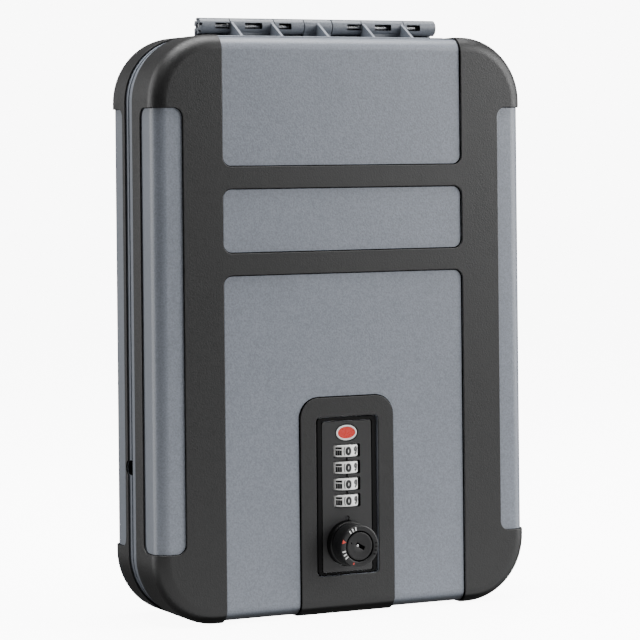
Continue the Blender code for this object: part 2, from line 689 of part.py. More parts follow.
def wheel_pocket(name, z):
    """The shallow finger pocket in a wheel's rim, beside the figure nought."""
    pocket = block(name, (-0.0016, -0.0009, -0.0018), (0.0016, 0.0009, 0.0018))
    direction = Vector((math.sin(POCKET_ANGLE), -math.cos(POCKET_ANGLE), 0))
    pocket.location = Vector((0, WHEEL_Y, z)) + direction * WHEEL_RADIUS
    pocket.rotation_euler = (0, 0, POCKET_ANGLE)
    return pocket


def sleeve_key(name, z, grow):
    """The key that makes a sleeve turn with its wheel, or the notch for it where grow is not 0."""
    half = 0.0005 + grow
    inner = SLEEVE_RADIUS - 0.0004
    outer = WHEEL_BORE + 0.0008 + grow
    return block(name, (-half, WHEEL_Y + inner, z - WHEEL_WIDTH / 2 - 2 * grow),
                 (half, WHEEL_Y + outer, z + WHEEL_WIDTH / 2 + 2 * grow))


def make_detent_spring():
    """A leaf spring with a finger behind each wheel."""
    front_y = HOUSING_BACK_Y - 0.0015
    low_z, high_z = WHEEL_Z[-1] - 0.0028, WHEEL_Z[0] + 0.0055
    made = block("detent_spring", (-0.0038, front_y, low_z), (0.0038, front_y + 0.0004, high_z),
                 SPRING_STEEL)
    for number in range(WHEEL_COUNT - 1):
        z = (WHEEL_Z[number] + WHEEL_Z[number + 1]) / 2
        cut(made, block(f"finger_slit_{number}", (-0.0028, -FAR, z - 0.0004), (FAR, FAR, z + 0.0004)))


def make_reset():
    """The pin that a pen tip pushes in to set a new code, and its return spring."""
    flange_front = PLATE_BACK_Y + GAP
    seat = flange_front + 0.0012
    profile = [(0, 0.0012), (0.00085, 0.0012), (0.00085, 0), (0.0019, 0), (0.0019, -0.0012),
               (0.00085, -0.0012), (0.00085, -0.0042), (0, -0.0042)]
    turned("reset_button", profile, STEEL, (0, flange_front, RESET_Z), FRONTWARD, 16)

    floor_y = HOUSING_BACK_Y - 0.0025
    start, end = seat + GAP + 0.0003, floor_y - GAP - 0.0003
    coil_spring("reset_spring", (0, start, RESET_Z), end - start, 0.0014, 0.00022, 4)


def coil_spring(name, start, length, radius, wire_radius, turns):
    """A coil along +Y from start."""
    per_turn = 10
    curve = bpy.data.curves.new(name, "CURVE")
    curve.dimensions = "3D"
    curve.bevel_depth = wire_radius
    curve.bevel_resolution = 1
    curve.use_fill_caps = True
    count = turns * per_turn + 1
    line = curve.splines.new("POLY")
    line.points.add(count - 1)
    for i in range(count):
        angle = 2 * math.pi * i / per_turn
        along = length * i / (count - 1)
        line.points[i].co = (radius * math.cos(angle), along, radius * math.sin(angle), 1.0)
    curve.materials.append(SPRING_STEEL)
    made = bpy.data.objects.new(name, curve)
    made.location = start
    PARTS.objects.link(made)


def make_knob():
    """The turning knob, its collar, and the key core in its face."""
    centre = (0, KNOB_FACE_Y, KNOB_Z)
    hub, depth = 0.0076, -KNOB_FACE_Y - 0.0180
    collar_y = -KNOB_FACE_Y + COLLAR_FRONT_Y    # depth of the collar's front behind the face
    edge, mouth = 0.0008, 0.0005
    bore, bore_depth = CORE_RADIUS + 0.0002, 0.0086
    r = KNOB_RADIUS
    profile = [
        (0, -bore_depth), (bore, -bore_depth), (bore, -0.0020), (CORE_RADIUS + mouth, -0.0020),
        (CORE_RADIUS + mouth, 0), (r - edge, 0), (r - 0.0002, -0.0003), (r, -edge),
        (r, -collar_y + GAP), (hub, -collar_y + GAP), (hub, -depth), (0, -depth),
    ]
    turned("knob", profile, KNOB_BLACK, centre, FRONTWARD, 32)

    top, bottom = -COLLAR_FRONT_Y, -HOUSING_FRONT_Y + GAP
    outer, inner, chamfer = COLLAR_RADIUS, hub + GAP, 0.0005
    collar = [(outer - chamfer, top), (outer, top - chamfer), (outer, bottom), (inner, bottom),
              (inner, top)]
    turned("knob_collar", collar, KNOB_BLACK, (0, 0, KNOB_Z), FRONTWARD, 32)

    core = [(0, -0.0009), (0.0018, -0.0009), (CORE_RADIUS - 0.0006, 0), (CORE_RADIUS, -0.0004),
            (CORE_RADIUS, -bore_depth + GAP), (0, -bore_depth + GAP)]
    core_y = KNOB_FACE_Y + 0.0002
    key_core = turned("key_core", core, PLATE_BLACK, (0, core_y, KNOB_Z), FRONTWARD, 28)
    keyway = block("keyway", (-0.0021, -0.0007, -0.0060), (0.0021, 0.0007, 0.0020))
    keyway.location = (0.0002, core_y, KNOB_Z)
    keyway.rotation_euler = (math.pi / 2, math.radians(-32), 0)
    cut(key_core, keyway)

    spindle_front = -0.0180 + GAP
    frontward_rod("knob_spindle", SPINDLE_RADIUS, 0, KNOB_Z, spindle_front, SPINDLE_END_Y, STEEL, 24)


def make_latch():
    """The cam on the spindle's end and the keeper that it swings behind."""
    hub = 0.0062
    cam = frontward_rod("latch_cam", hub, 0, KNOB_Z, CAM_Y[0], CAM_Y[1], STEEL, 28)
    tail = block("cam_tail", (0, CAM_Y[0], KNOB_Z - CAM_HALF_WIDTH),
                 (CAM_LENGTH, CAM_Y[1], KNOB_Z + CAM_HALF_WIDTH))
    join(cam, tail)
    cut(cam, frontward_rod("cam_hole", 0.0015, 0, KNOB_Z, -FAR, FAR, segments=16))
    cam_screw = screw("cam_screw", (0, CAM_Y[1] + GAP, KNOB_Z), 0.0050, (-math.pi / 2, 0, 0))
    spindle = bpy.data.objects["knob_spindle"]
    cut(spindle, frontward_rod("spindle_tap", 0.0015, 0, KNOB_Z, SPINDLE_END_Y - 0.0050, FAR,
                               segments=16))
    return cam_screw


def make_keeper():
    """A bent steel strip screwed to the base's floor; its lip stands up in front of the cam."""
    half = KEEPER_HALF_WIDTH
    foot = block("keeper_plate", (-half, LIP_Y[0], KEEPER_Z[0]), (half, 0.0220, KEEPER_Z[1]), STEEL)
    join(foot, block("keeper_lip", (-half, LIP_Y[0], KEEPER_Z[0]), (half, LIP_Y[1], LIP_TOP_Z)))
    for number, x in enumerate((-KEEPER_SCREW_X, KEEPER_SCREW_X), start=1):
        cut(foot, rod(f"keeper_plate_hole_{number}", 0.0015, (x, KEEPER_SCREW_Y, 0.0040), 0.0040,
                      segments=12))
        screw(f"keeper_screw_{number}", (x, KEEPER_SCREW_Y, KEEPER_Z[1] + GAP), 0.0038, UPRIGHT)


make_case()
make_surround()
make_bezel()
make_plate()
make_housing()
make_cover()
make_wheels()
make_detent_spring()
make_reset()
make_knob()
make_latch()
make_keeper()
bpy.context.view_layer.update()
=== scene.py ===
import math

import bmesh
import bpy
from mathutils import Matrix, Vector


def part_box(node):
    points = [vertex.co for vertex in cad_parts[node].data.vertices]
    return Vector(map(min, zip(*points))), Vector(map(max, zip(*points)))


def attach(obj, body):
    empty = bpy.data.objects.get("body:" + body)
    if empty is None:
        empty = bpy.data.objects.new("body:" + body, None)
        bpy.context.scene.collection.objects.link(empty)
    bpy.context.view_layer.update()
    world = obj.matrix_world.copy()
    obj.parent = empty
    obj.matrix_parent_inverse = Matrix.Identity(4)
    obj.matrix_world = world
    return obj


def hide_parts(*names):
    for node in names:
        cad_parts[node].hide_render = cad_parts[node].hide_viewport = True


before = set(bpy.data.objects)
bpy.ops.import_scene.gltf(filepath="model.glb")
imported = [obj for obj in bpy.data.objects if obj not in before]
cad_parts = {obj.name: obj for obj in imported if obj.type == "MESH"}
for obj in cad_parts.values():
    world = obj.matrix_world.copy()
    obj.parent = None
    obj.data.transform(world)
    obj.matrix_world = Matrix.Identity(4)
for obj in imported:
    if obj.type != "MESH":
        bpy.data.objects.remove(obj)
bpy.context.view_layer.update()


# Dimensions, in metres --------------------------------------------

LID_LOW, LID_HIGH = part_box("lid_bumper")
BASE_LOW, BASE_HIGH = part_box("base_bumper")
HALF_WIDTH = LID_HIGH.x
BODY_HEIGHT = LID_HIGH.z
CORNER_RADIUS = 0.0282
EDGE_RADIUS = 0.0066
PROUD = 0.00095
WALL = 0.0030
GAP = 0.0003
SKIN = PROUD - GAP
FRONT_Y = LID_LOW.y + PROUD
BACK_Y = BASE_HIGH.y - PROUD
TOP_Z = BODY_HEIGHT - PROUD
LID_RIM_Y = 0.0080
BASE_RIM_Y = 0.0094
LID_BUMPER_RIM_Y = LID_HIGH.y
BASE_BUMPER_RIM_Y = BASE_LOW.y
FAR = 0.05

TONGUE_OUTSET = 0.0018
TONGUE_THICKNESS = 0.0015
TONGUE_REACH = 0.0053
TONGUE_ROOT = 0.0028
REBATE_OUTSET = 0.0015
REBATE_DEPTH = 0.0044

PANEL_HALF_WIDTH = 0.0569
PANEL_SPANS = {
    "top": (0.1916, BODY_HEIGHT + FAR),
    "label": (0.1552, 0.1824),
    "bottom": (-FAR, 0.1460),
}
PANEL_CORNER = 0.0040
STRIP_X = 0.0750
STRIP_Z = (0.0308, 0.2164)
STRIP_CORNER = 0.0040
LID_STRIP_Y = -0.0054
BASE_STRIP_Y = 0.0140
PANEL_GROOVE = 0.00035
STRIP_GROOVE = 0.00005
GROOVE_DEPTH = 0.0008
GROOVE_OVERLAP = 0.0002

HINGE_Y = 0.0075
HINGE_Z = 0.2520
BARREL_RADIUS = 0.00345
BARREL_BORE = 0.0013
HINGE_X = (-0.0560, 0.0579)
KNUCKLE_ENDS = (0.0068, 0.0211, 0.0420)
KNUCKLE_GAP = 0.0004
KNUCKLE_STEPS = 40
BARREL_SINK = 0.0007
WEB_SPANS = {-1: (0.0007, 0.0020), 1: (0.0021, 0.0033)}
SLOT_HALF_HEIGHT = 0.0013
LID_SLOTS = ((-0.0350, -0.0270), (0.0276, 0.0356))
BASE_SLOTS = ((-0.0490, -0.0400), (-0.0190, -0.0130), (0.0140, 0.0230), (0.0435, 0.0500))
TEETH = 6
TOOTH_START = 0.35
TOOTH_LOW, TOOTH_HIGH = (-0.0010, -0.0006, 0.0022), (0.0010, 0.0006, 0.0060)
RIB_THICKNESS = 0.0013
RIB_REACH = 0.0135
RIB_SINK = 0.0010
LEDGE_INSET = 0.0008
LEDGE_TOP_Z = 0.2489
PLINTH_Y = (-0.0062, 0.0025)
PLINTH_TOP_Z = 0.2473
PLINTH_HALF_WIDTH = 0.0560

NOTCH_Z = 0.0647
NOTCH_RADIUS = 0.0031
NOTCH_END_Y = 0.0132
POST_X = -0.0785
POST_FRONT_Y = 0.0135
POST_RADIUS = 0.0035
SEAT_LOW, SEAT_HIGH = (-0.0100, 0.0130, PROUD + WALL - 0.0005), (0.0100, 0.0230, 0.0047)
BOSS_X = (-0.0205, 0.0205)
BOSS_Z = (0.0200, 0.0800)
BOSS_BACK_Y = -0.0055
BOSS_RADIUS = 0.0032
BOSS_BORE = 0.0015
BOSS_BORE_Y = -0.0125

OPENING_HALF_WIDTH = 0.0148
OPENING_Z = (0.0169, 0.0847)
SURROUND_HALF_WIDTH = 0.0221
SURROUND_TOP_Z = 0.0929
SURROUND_CORNER = 0.0085
SURROUND_PROUD = 0.00085
SURROUND_GROOVE, SURROUND_OVERLAP = 0.0004, 0.0003
SURROUND_GROOVE_DEPTH = 0.0005
PLATE_LOW, PLATE_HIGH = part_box("lock_plate")
PLATE_CORNER = 0.0010
BEZEL_LOW, BEZEL_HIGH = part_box("lock_bezel")
FRAME_DEPTH = 0.0012
FRAME_CORNER = 0.0018
FRAME_HOLE_CORNER = 0.0012
WINDOW_SIZE = (0.0128, 0.0057)
WINDOW_CORNER = 0.0007
SLIT_HALF_WIDTH = 0.0004
SLIT_DEPTH = 0.0008
RESET_Z = 0.0409
RESET_RADIUS = 0.0011
BADGE_Z = 0.0775
BADGE_SIZE = (0.0098, 0.0066)
BADGE_RIM = 0.00075
BADGE_DEPTH = 0.0006
BADGE_GAP = 0.0006

WHEELS = [f"number_wheel_{i}" for i in range(1, 5)]
WHEEL_BOXES = [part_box(name) for name in WHEELS]
WHEEL_Z = [(low.z + high.z) / 2 for low, high in WHEEL_BOXES]
WHEEL_Y = sum((low.y + high.y) / 2 for low, high in WHEEL_BOXES) / len(WHEEL_BOXES)
WHEEL_RADIUS = 0.0067
WHEEL_WIDTH = 0.0049
WHEEL_BORE = 0.0034
WHEEL_EDGE = 0.0004
FIGURES = "09876543"
FIGURE_SIZE = (0.0028, 0.0038)
FIGURE_PITCH = math.radians(36)
FIGURE_START = math.radians(-1.5)
FIGURE_WEIGHT = 0.08
FIGURE_SLICES = 8
MARK_SIZE = (0.0007, 0.0036)
MARK_ANGLE = math.radians(-17)
POCKET_ANGLE = math.radians(-39)
POCKET_HALF_WIDTH = 0.0014
POCKET_DEPTH = 0.0010
LOW_POCKET, HIGH_POCKET = (-0.0018, 0.0004), (0.0008, 0.0017)
POCKET_RIB_X = (-0.0006, 0.0004)
POCKET_RIB_HALF_WIDTH = 0.00010
POCKET_RIB_TOP = 0.00025
INK_HEIGHT = 0.00003
INK_SINK = 0.00006

KNOB_Z = sum(corner.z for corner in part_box("knob")) / 2
KNOB_FACE_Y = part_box("knob")[0].y
KNOB_RADIUS = 0.0089
HUB_RADIUS = 0.0076
HUB_BACK_Y = -0.0180
CORE_RADIUS = 0.0060
CORE_GAP = 0.0002
CORE_SUNK = 0.0002
BORE_DEPTH = 0.0086
COLLAR_RADIUS = 0.0095
COLLAR_FRONT_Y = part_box("knob_collar")[0].y
COLLAR_BACK_Y = -0.0174
PRINT_HEIGHT = 0.00004
PRINT_SINK = 0.0001
TICK_ANGLES = (104, 115, 126, 194, 205, 216)
TICK_RADIUS, TICK_LENGTH, TICK_WIDTH = 0.0077, 0.0015, 0.00055
POINTER_ANGLE = 163.5
POINTER_TIP, POINTER_FOOT, POINTER_HALF_WIDTH = 0.0068, 0.0085, 0.0009
RED_BAR_ANGLE = 247.5
RED_BAR_RADIUS, RED_BAR_LENGTH, RED_BAR_WIDTH = 0.0078, 0.0009, 0.00042
EMBOSSED_ANGLES = (-28, -16, -4, 8)
EMBOSSED_RADIUS, EMBOSSED_LENGTH, EMBOSSED_WIDTH = 0.0078, 0.0010, 0.0006
EMBOSSED_HEIGHT = 0.00010
KEYWAY_LOW, KEYWAY_HIGH = (-0.0022, -0.0008, -0.0060), (0.0022, 0.0008, 0.0020)
KEYWAY_X = 0.0004
KEYWAY_TURN = math.radians(30)
DIMPLE_X, DIMPLE_RISE = -0.0039, 0.0015
DIMPLE_RADIUS, DIMPLE_DEPTH = 0.00035, 0.0012
WAFER_X, WAFER_RISE = -0.0008, 0.0002
WAFER_RADIUS, WAFER_DEPTH, WAFER_LENGTH = 0.00075, 0.0022, 0.0017

FOAM_CORNER = {"base": 0.018, "lid": 0.009}
FOAM_CELL = 0.0022
FOAM_PERIOD = 0.019
FOAM_RISE = 0.0016
FOAM_MARGIN = 0.0022
FOAM_EDGE = 0.45

OUTLINE_STEPS = 18
FILLET_STEPS = 10
FRONTWARD = (math.pi / 2, 0, 0)
SIDEWARD = (0, math.pi / 2, 0)

# Materials --------------------------------------------------------


class Nodes:
    """A new material's node tree, with short calls for the nodes that the finishes use."""

    def __init__(self, name, roughness=0.5, metallic=0.0):
        self.material = bpy.data.materials.new(name)
        self.material.use_nodes = True
        self.tree = self.material.node_tree
        self.shader = self.tree.nodes["Principled BSDF"]
        self.shader.inputs["Roughness"].default_value = roughness
        self.shader.inputs["Metallic"].default_value = metallic
        self.coords = self.add("ShaderNodeTexCoord").outputs["Object"]

    def add(self, kind, **settings):
        node = self.tree.nodes.new(kind)
        for key, value in settings.items():
            setattr(node, key, value)
        return node

    def link(self, source, target):
        self.tree.links.new(source, target)

    def noise(self, size, detail=2.0, rough=0.55, stretch=None):
        """Noise with features of about this size in metres, drawn out along an axis by stretch."""
        node = self.add("ShaderNodeTexNoise")
        node.inputs["Scale"].default_value = 1.0 / size
        node.inputs["Detail"].default_value = detail
        node.inputs["Roughness"].default_value = rough
        source = self.coords
        if stretch:
            mapping = self.add("ShaderNodeMapping")
            mapping.inputs["Scale"].default_value = stretch
            self.link(source, mapping.inputs["Vector"])
            source = mapping.outputs["Vector"]
        self.link(source, node.inputs["Vector"])
        return node.outputs["Fac"]

    def ramp(self, source, low, high, start=0.3, end=0.7):
        """A colour ramp between two colours over the middle of the source's range."""
        node = self.add("ShaderNodeValToRGB")
        for element, place, color in zip(node.color_ramp.elements, (start, end), (low, high)):
            element.position = place
            element.color = (*color, 1.0)
        self.link(source, node.inputs["Fac"])
        return node.outputs["Color"]

    def spread(self, source, low, high, start=0.3, end=0.7):
        """The source mapped to a range of values."""
        node = self.add("ShaderNodeMapRange")
        for key, value in (("From Min", start), ("From Max", end),
                           ("To Min", low), ("To Max", high)):
            node.inputs[key].default_value = value
        self.link(source, node.inputs["Value"])
        return node.outputs["Result"]

    def mix(self, factor, first, second, blend="MIX"):
        """Two colours mixed by a constant factor."""
        node = self.add("ShaderNodeMix", data_type="RGBA", blend_type=blend)
        node.inputs[0].default_value = factor
        self.link(first, node.inputs[6])
        self.link(second, node.inputs[7])
        return node.outputs[2]

    def bump(self, source, height, strength=1.0):
        node = self.add("ShaderNodeBump")
        node.inputs["Strength"].default_value = strength
        node.inputs["Distance"].default_value = height
        self.link(source, node.inputs["Height"])
        return node.outputs["Normal"]


def scaled(color, factor):
    return tuple(min(1.0, value * factor) for value in color)


def moulded(name, color, roughness, grain=0.0006, relief=0.00003, mottle=0.05, speck=0.10,
            rough_swing=0.08, specular=0.5):
    """Moulded plastic with a fine spark-eroded texture."""
    n = Nodes(name, roughness)
    n.shader.inputs["Specular IOR Level"].default_value = specular
    broad = n.noise(0.03, 3.0)
    fine = n.noise(grain, 2.0, 0.6)
    tint = n.ramp(broad, scaled(color, 1 - mottle), scaled(color, 1 + mottle))
    dots = n.ramp(fine, (1 - speck,) * 3, (1.0,) * 3)
    n.link(n.mix(1.0, tint, dots, "MULTIPLY"), n.shader.inputs["Base Color"])
    n.link(n.spread(fine, roughness - rough_swing, roughness + rough_swing),
           n.shader.inputs["Roughness"])
    n.link(n.bump(fine, relief), n.shader.inputs["Normal"])
    return n.material


def metal(name, color, roughness, stretch=(1, 1, 8), grain=0.0008, relief=0.00001, swing=0.08):
    """Metal with the fine lines of drawing, rolling or turning, along or across an axis."""
    n = Nodes(name, roughness, 1.0)
    broad = n.noise(0.006, 3.0)
    lines = n.noise(grain, 2.0, 0.6, stretch)
    tint = n.ramp(broad, scaled(color, 0.88), scaled(color, 1.06))
    n.link(tint, n.shader.inputs["Base Color"])
    n.link(n.spread(lines, roughness - swing, roughness + swing), n.shader.inputs["Roughness"])
    n.link(n.bump(lines, relief), n.shader.inputs["Normal"])
    return n.material


def foam_material(name, color):
    """Open-cell foam: dark pores between lighter cell walls, the pores darkened and the walls
    lightened as painted shade.
    """
    n = Nodes(name, 0.95)
    n.shader.inputs["Specular IOR Level"].default_value = 0.15
    cells = n.add("ShaderNodeTexVoronoi", feature="F1")
    cells.inputs["Scale"].default_value = 1 / 0.0011
    n.link(n.coords, cells.inputs["Vector"])
    pores = cells.outputs["Distance"]
    wander = n.noise(0.012, 3.0)
    # Painted shade: darker in the pores, lighter on the cell walls.
    walls = n.ramp(pores, scaled(color, 0.35), scaled(color, 1.5), 0.05, 0.55)
    n.link(n.mix(0.35, walls, n.ramp(wander, scaled(color, 0.7), scaled(color, 1.3))),
           n.shader.inputs["Base Color"])
    n.link(n.bump(pores, 0.0004, 0.8), n.shader.inputs["Normal"])
    n.shader.inputs["Sheen Weight"].default_value = 0.2
    return n.material


SHELL_GREY = moulded("shell_grey_plastic", (0.205, 0.225, 0.262), 0.38, grain=0.0007,
                     relief=0.000060, mottle=0.03, speck=0.28)
# The shell's grey darkened for the hinge barrels: painted shade.
HINGE_SHADED_GREY = moulded("hinge_painted_shade_grey", (0.145, 0.158, 0.180), 0.34, grain=0.0007,
                     relief=0.000040, mottle=0.03, speck=0.28)
BUMPER_BLACK = moulded("bumper_black_plastic", (0.012, 0.012, 0.0123), 0.46, grain=0.0007,
                       relief=0.000070, mottle=0.06, speck=0.35, specular=0.45)
# Near-black painted shade for grooves, gaps, slots, holes and the notch (in the grooves partly the
# black under the bumper); the knob's embossed marks use it too.
SHADE_AND_MARK_BLACK = moulded("painted_shade_and_mark_black", (0.002, 0.002, 0.002), 0.75, relief=0.00001,
                       specular=0.1)
PLATE_BLACK = moulded("plate_black_plastic", (0.017, 0.017, 0.0175), 0.40, grain=0.0004,
                      relief=0.000010, mottle=0.04, speck=0.12)
SMOOTH = dict(grain=0.0004, relief=0.000006, mottle=0.04, speck=0.08)
# The frame's own black made deeper and duller than the bumper's, as painted shade in the moat
# round the plate.
BEZEL_SHADE_BLACK = moulded("bezel_black_with_painted_shade", (0.003, 0.003, 0.0032), 0.55, specular=0.10,
                      **SMOOTH)
KNOB_BLACK = moulded("knob_black_plastic", (0.009, 0.009, 0.0095), 0.36, rough_swing=0.05,
                     specular=0.38, **SMOOTH)
# The collar's own black deepened as painted shade, for the knob's shadow round its base.
COLLAR_SHADE_BLACK = moulded("collar_black_with_painted_shade", (0.003, 0.003, 0.0032), 0.34, specular=0.22,
                       **SMOOTH)
CORE_BLACK = moulded("core_black_enamel", (0.010, 0.010, 0.0105), 0.45, grain=0.0004,
                     relief=0.000006, mottle=0.05, speck=0.10, rough_swing=0.05, specular=0.32)
DIAL_WHITE = moulded("dial_white_plastic", (0.92, 0.92, 0.90), 0.36, grain=0.0005,
                     relief=0.000004, mottle=0.02, speck=0.05, rough_swing=0.05)
# The white wheel's pocket painted near-black, and the ribs in it grey, as painted shade.
DIAL_POCKET_SHADE = moulded("dial_pocket_painted_shade", (0.012, 0.012, 0.012), 0.6, relief=0.000004)
POCKET_RIB_SHADE = moulded("dial_rib_painted_shade", (0.20, 0.20, 0.20), 0.5, relief=0.000004)
INK = dict(relief=0.000002, speck=0.05)
INK_BLACK = moulded("figure_black_ink", (0.012, 0.012, 0.013), 0.45, **INK)
INK_WHITE = moulded("mark_white_ink", (0.72, 0.72, 0.71), 0.5, **INK)
MARK_RED = moulded("mark_red_ink", (0.62, 0.045, 0.030), 0.45, relief=0.000002, speck=0.06)
BADGE_RED = moulded("badge_red_enamel", (0.60, 0.045, 0.035), 0.28, grain=0.0006,
                    relief=0.000003, mottle=0.04, speck=0.06, rough_swing=0.04)
STEEL = metal("zinc_plated_steel", (0.56, 0.57, 0.58), 0.34)
BRIGHT_STEEL = metal("bright_steel", (0.62, 0.62, 0.63), 0.24, swing=0.05)
SPRING_STEEL = metal("spring_steel_finish", (0.46, 0.46, 0.48), 0.26, swing=0.05)
PALE_STEEL = metal("satin_pin_steel", (0.90, 0.90, 0.91), 0.30)
BLACK_STEEL = metal("blackened_steel", (0.045, 0.045, 0.047), 0.45)
ZINC = metal("die_cast_zinc_finish", (0.40, 0.41, 0.43), 0.50, stretch=(1, 1, 1), grain=0.0012,
             relief=0.00003)
FOAM = foam_material("open_cell_foam", (0.035, 0.035, 0.038))

# Building blocks --------------------------------------------------


def new_piece(name, mesh, *finishes, location=(0, 0, 0), rotation=(0, 0, 0)):
    thing = bpy.data.objects.new(name, mesh)
    thing.location = location
    thing.rotation_euler = rotation
    for finish in finishes:
        mesh.materials.append(finish)
    bpy.context.scene.collection.objects.link(thing)
    return thing


def mesh_from(bm, name):
    bmesh.ops.recalc_face_normals(bm, faces=bm.faces)
    mesh = bpy.data.meshes.new(name)
    bm.to_mesh(mesh)
    bm.free()
    return mesh


def settle(thing):
    """Applies a piece's modifiers and its placement to its mesh."""
    bpy.context.view_layer.update()
    depsgraph = bpy.context.evaluated_depsgraph_get()
    mesh = bpy.data.meshes.new_from_object(thing.evaluated_get(depsgraph), depsgraph=depsgraph)
    mesh.transform(thing.matrix_world)
    old = thing.data
    thing.modifiers.clear()
    if thing.type == "MESH":
        thing.data = mesh
    else:
        made = bpy.data.objects.new(thing.name + "_mesh", mesh)
        bpy.context.scene.collection.objects.link(made)
        name = thing.name
        bpy.data.objects.remove(thing)
        made.name = name
        return made
    thing.matrix_world = Matrix.Identity(4)
    bpy.data.meshes.remove(old)
    return thing


def boolean(target, operation, *others):
    """Boolean against throwaway solids, which are then deleted."""
    for other in others:
        modifier = target.modifiers.new(operation.lower(), "BOOLEAN")
        modifier.operation = operation
        modifier.solver = "EXACT"
        modifier.material_mode = "TRANSFER"
        modifier.object = other
    settle(target)
    for other in others:
        bpy.data.objects.remove(other)
    return target


def carve(target, *cutters):
    return boolean(target, "DIFFERENCE", *cutters)


def split_walls(piece):
    """Cuts the concave walls that face sideways into convex faces, so they fill cleanly."""
    bm = bmesh.new()
    bm.from_mesh(piece.data)
    walls = [f for f in bm.faces if abs(f.normal.x) > 0.99 and len(f.verts) > 8]
    bmesh.ops.connect_verts_concave(bm, faces=walls)
    bm.to_mesh(piece.data)
    bm.free()


def joined(name, *pieces):
    """Several pieces put into one mesh, with their materials kept."""
    target = pieces[0]
    with bpy.context.temp_override(active_object=target, object=target,
                                   selected_objects=list(pieces),
                                   selected_editable_objects=list(pieces)):
        bpy.ops.object.join()
    target.name = name
    target.data.name = name
    return target


def soften(thing, width, segments=2):
    """Rounds a piece's hard edges and smooths its shading."""
    thing.data.shade_smooth()
    bevel = thing.modifiers.new("edges", "BEVEL")
    bevel.width = width
    bevel.segments = segments
    bevel.limit_method = "ANGLE"
    bevel.angle_limit = math.radians(32)
    bevel.miter_outer = "MITER_ARC"
    normals = thing.modifiers.new("normals", "WEIGHTED_NORMAL")
    normals.keep_sharp = True
    normals.weight = 100
    return settle(thing)


def smooth(thing, angle):
    """Smooths a piece's shading, apart from edges sharper than this many degrees."""
    thing.data.shade_smooth()
    thing.data.set_sharp_from_angle(angle=math.radians(angle))
    return thing


def runs_along(edge, axis):
    line = edge.verts[1].co - edge.verts[0].co
    return abs(line[axis]) > 0.999 * line.length


def cube(low, high):
    low, high = Vector(low), Vector(high)
    bm = bmesh.new()
    matrix = Matrix.Translation((low + high) / 2) @ Matrix.Diagonal((*(high - low), 1.0))
    bmesh.ops.create_cube(bm, size=1.0, matrix=matrix)
    return bm


def block(name, low, high, *finishes, radius=0.0, segments=6):
    """A box whose edges parallel to Y are rounded."""
    bm = cube(low, high)
    if radius:
        edges = [e for e in bm.edges if runs_along(e, 1)]
        bmesh.ops.bevel(bm, geom=edges, offset=radius, segments=segments, profile=0.5,
                        affect="EDGES", clamp_overlap=False)
    return new_piece(name, mesh_from(bm, name), *finishes)


def lathe(name, profile, *finishes, location=(0, 0, 0), rotation=(0, 0, 0), steps=64, bands=None):
    """A closed profile of (radius, height) points turned round Z. bands gives the material of
    each of the profile's stretches; it runs on from the last point to the first."""
    bm = bmesh.new()
    rings = []
    for radius, height in profile:
        if radius == 0:
            rings.append([bm.verts.new((0, 0, height))])
        else:
            rings.append([bm.verts.new((radius * math.cos(2 * math.pi * i / steps),
                                        radius * math.sin(2 * math.pi * i / steps), height))
                          for i in range(steps)])
    for k, (lower, upper) in enumerate(zip(rings, rings[1:] + rings[:1])):
        if len(lower) == 1 and len(upper) == 1:
            continue
        for i in range(steps):
            j = (i + 1) % steps
            corners = [lower[i % len(lower)], lower[j % len(lower)],
                       upper[j % len(upper)], upper[i % len(upper)]]
            corners = list(dict.fromkeys(corners))
            face = bm.faces.new(corners)
            if bands:
                face.material_index = bands[k]
    thing = new_piece(name, mesh_from(bm, name), *finishes, location=location, rotation=rotation)
    return settle(thing)


def rod(name, radius, start, length, *finishes, rotation=(0, 0, 0), steps=32):
    profile = [(0, 0), (radius, 0), (radius, length), (0, length)]
    return lathe(name, profile, *finishes, location=start, rotation=rotation, steps=steps)


def front_rod(name, radius, x, z, front_y, back_y, *finishes, steps=32):
    """A cylinder along Y between two depths."""
    return rod(name, radius, (x, back_y, z), back_y - front_y, *finishes, rotation=FRONTWARD,
               steps=steps)


def prism_x(name, points, low, high, *finishes):
    """A solid with these (y, z) points as outline, along X between low and high."""
    bm = bmesh.new()
    verts = [bm.verts.new((low, y, z)) for y, z in points]
    grown = bmesh.ops.extrude_face_region(bm, geom=[bm.faces.new(verts)])
    moved = [v for v in grown["geom"] if isinstance(v, bmesh.types.BMVert)]
    bmesh.ops.translate(bm, verts=moved, vec=(high - low, 0, 0))
    return new_piece(name, mesh_from(bm, name), *finishes)


# Case -------------------------------------------------------------


def outline(inset):
    """The case's rounded outline, this far inside the bumpers', as (x, z) points."""
    radius = CORNER_RADIUS - inset
    centre_x = HALF_WIDTH - CORNER_RADIUS
    centre_z = (CORNER_RADIUS, BODY_HEIGHT - CORNER_RADIUS)
    points = []
    for quarter, (side, row) in enumerate(((1, 1), (-1, 1), (-1, 0), (1, 0))):
        for i in range(OUTLINE_STEPS + 1):
            angle = math.pi / 2 * (quarter + i / OUTLINE_STEPS)
            points.append((side * centre_x + radius * math.cos(angle),
                           centre_z[row] + radius * math.sin(angle)))
    return points


def fillet(inset, face_y, inward):
    """(inset, y) points from a face round to its side wall; inward is +1 where y grows inward."""
    radius = EDGE_RADIUS - inset
    points = []
    for i in range(FILLET_STEPS + 1):
        angle = math.pi / 2 * i / FILLET_STEPS
        points.append((EDGE_RADIUS - radius * math.sin(angle),
                       face_y + inward * radius * (1 - math.cos(angle))))
    return points


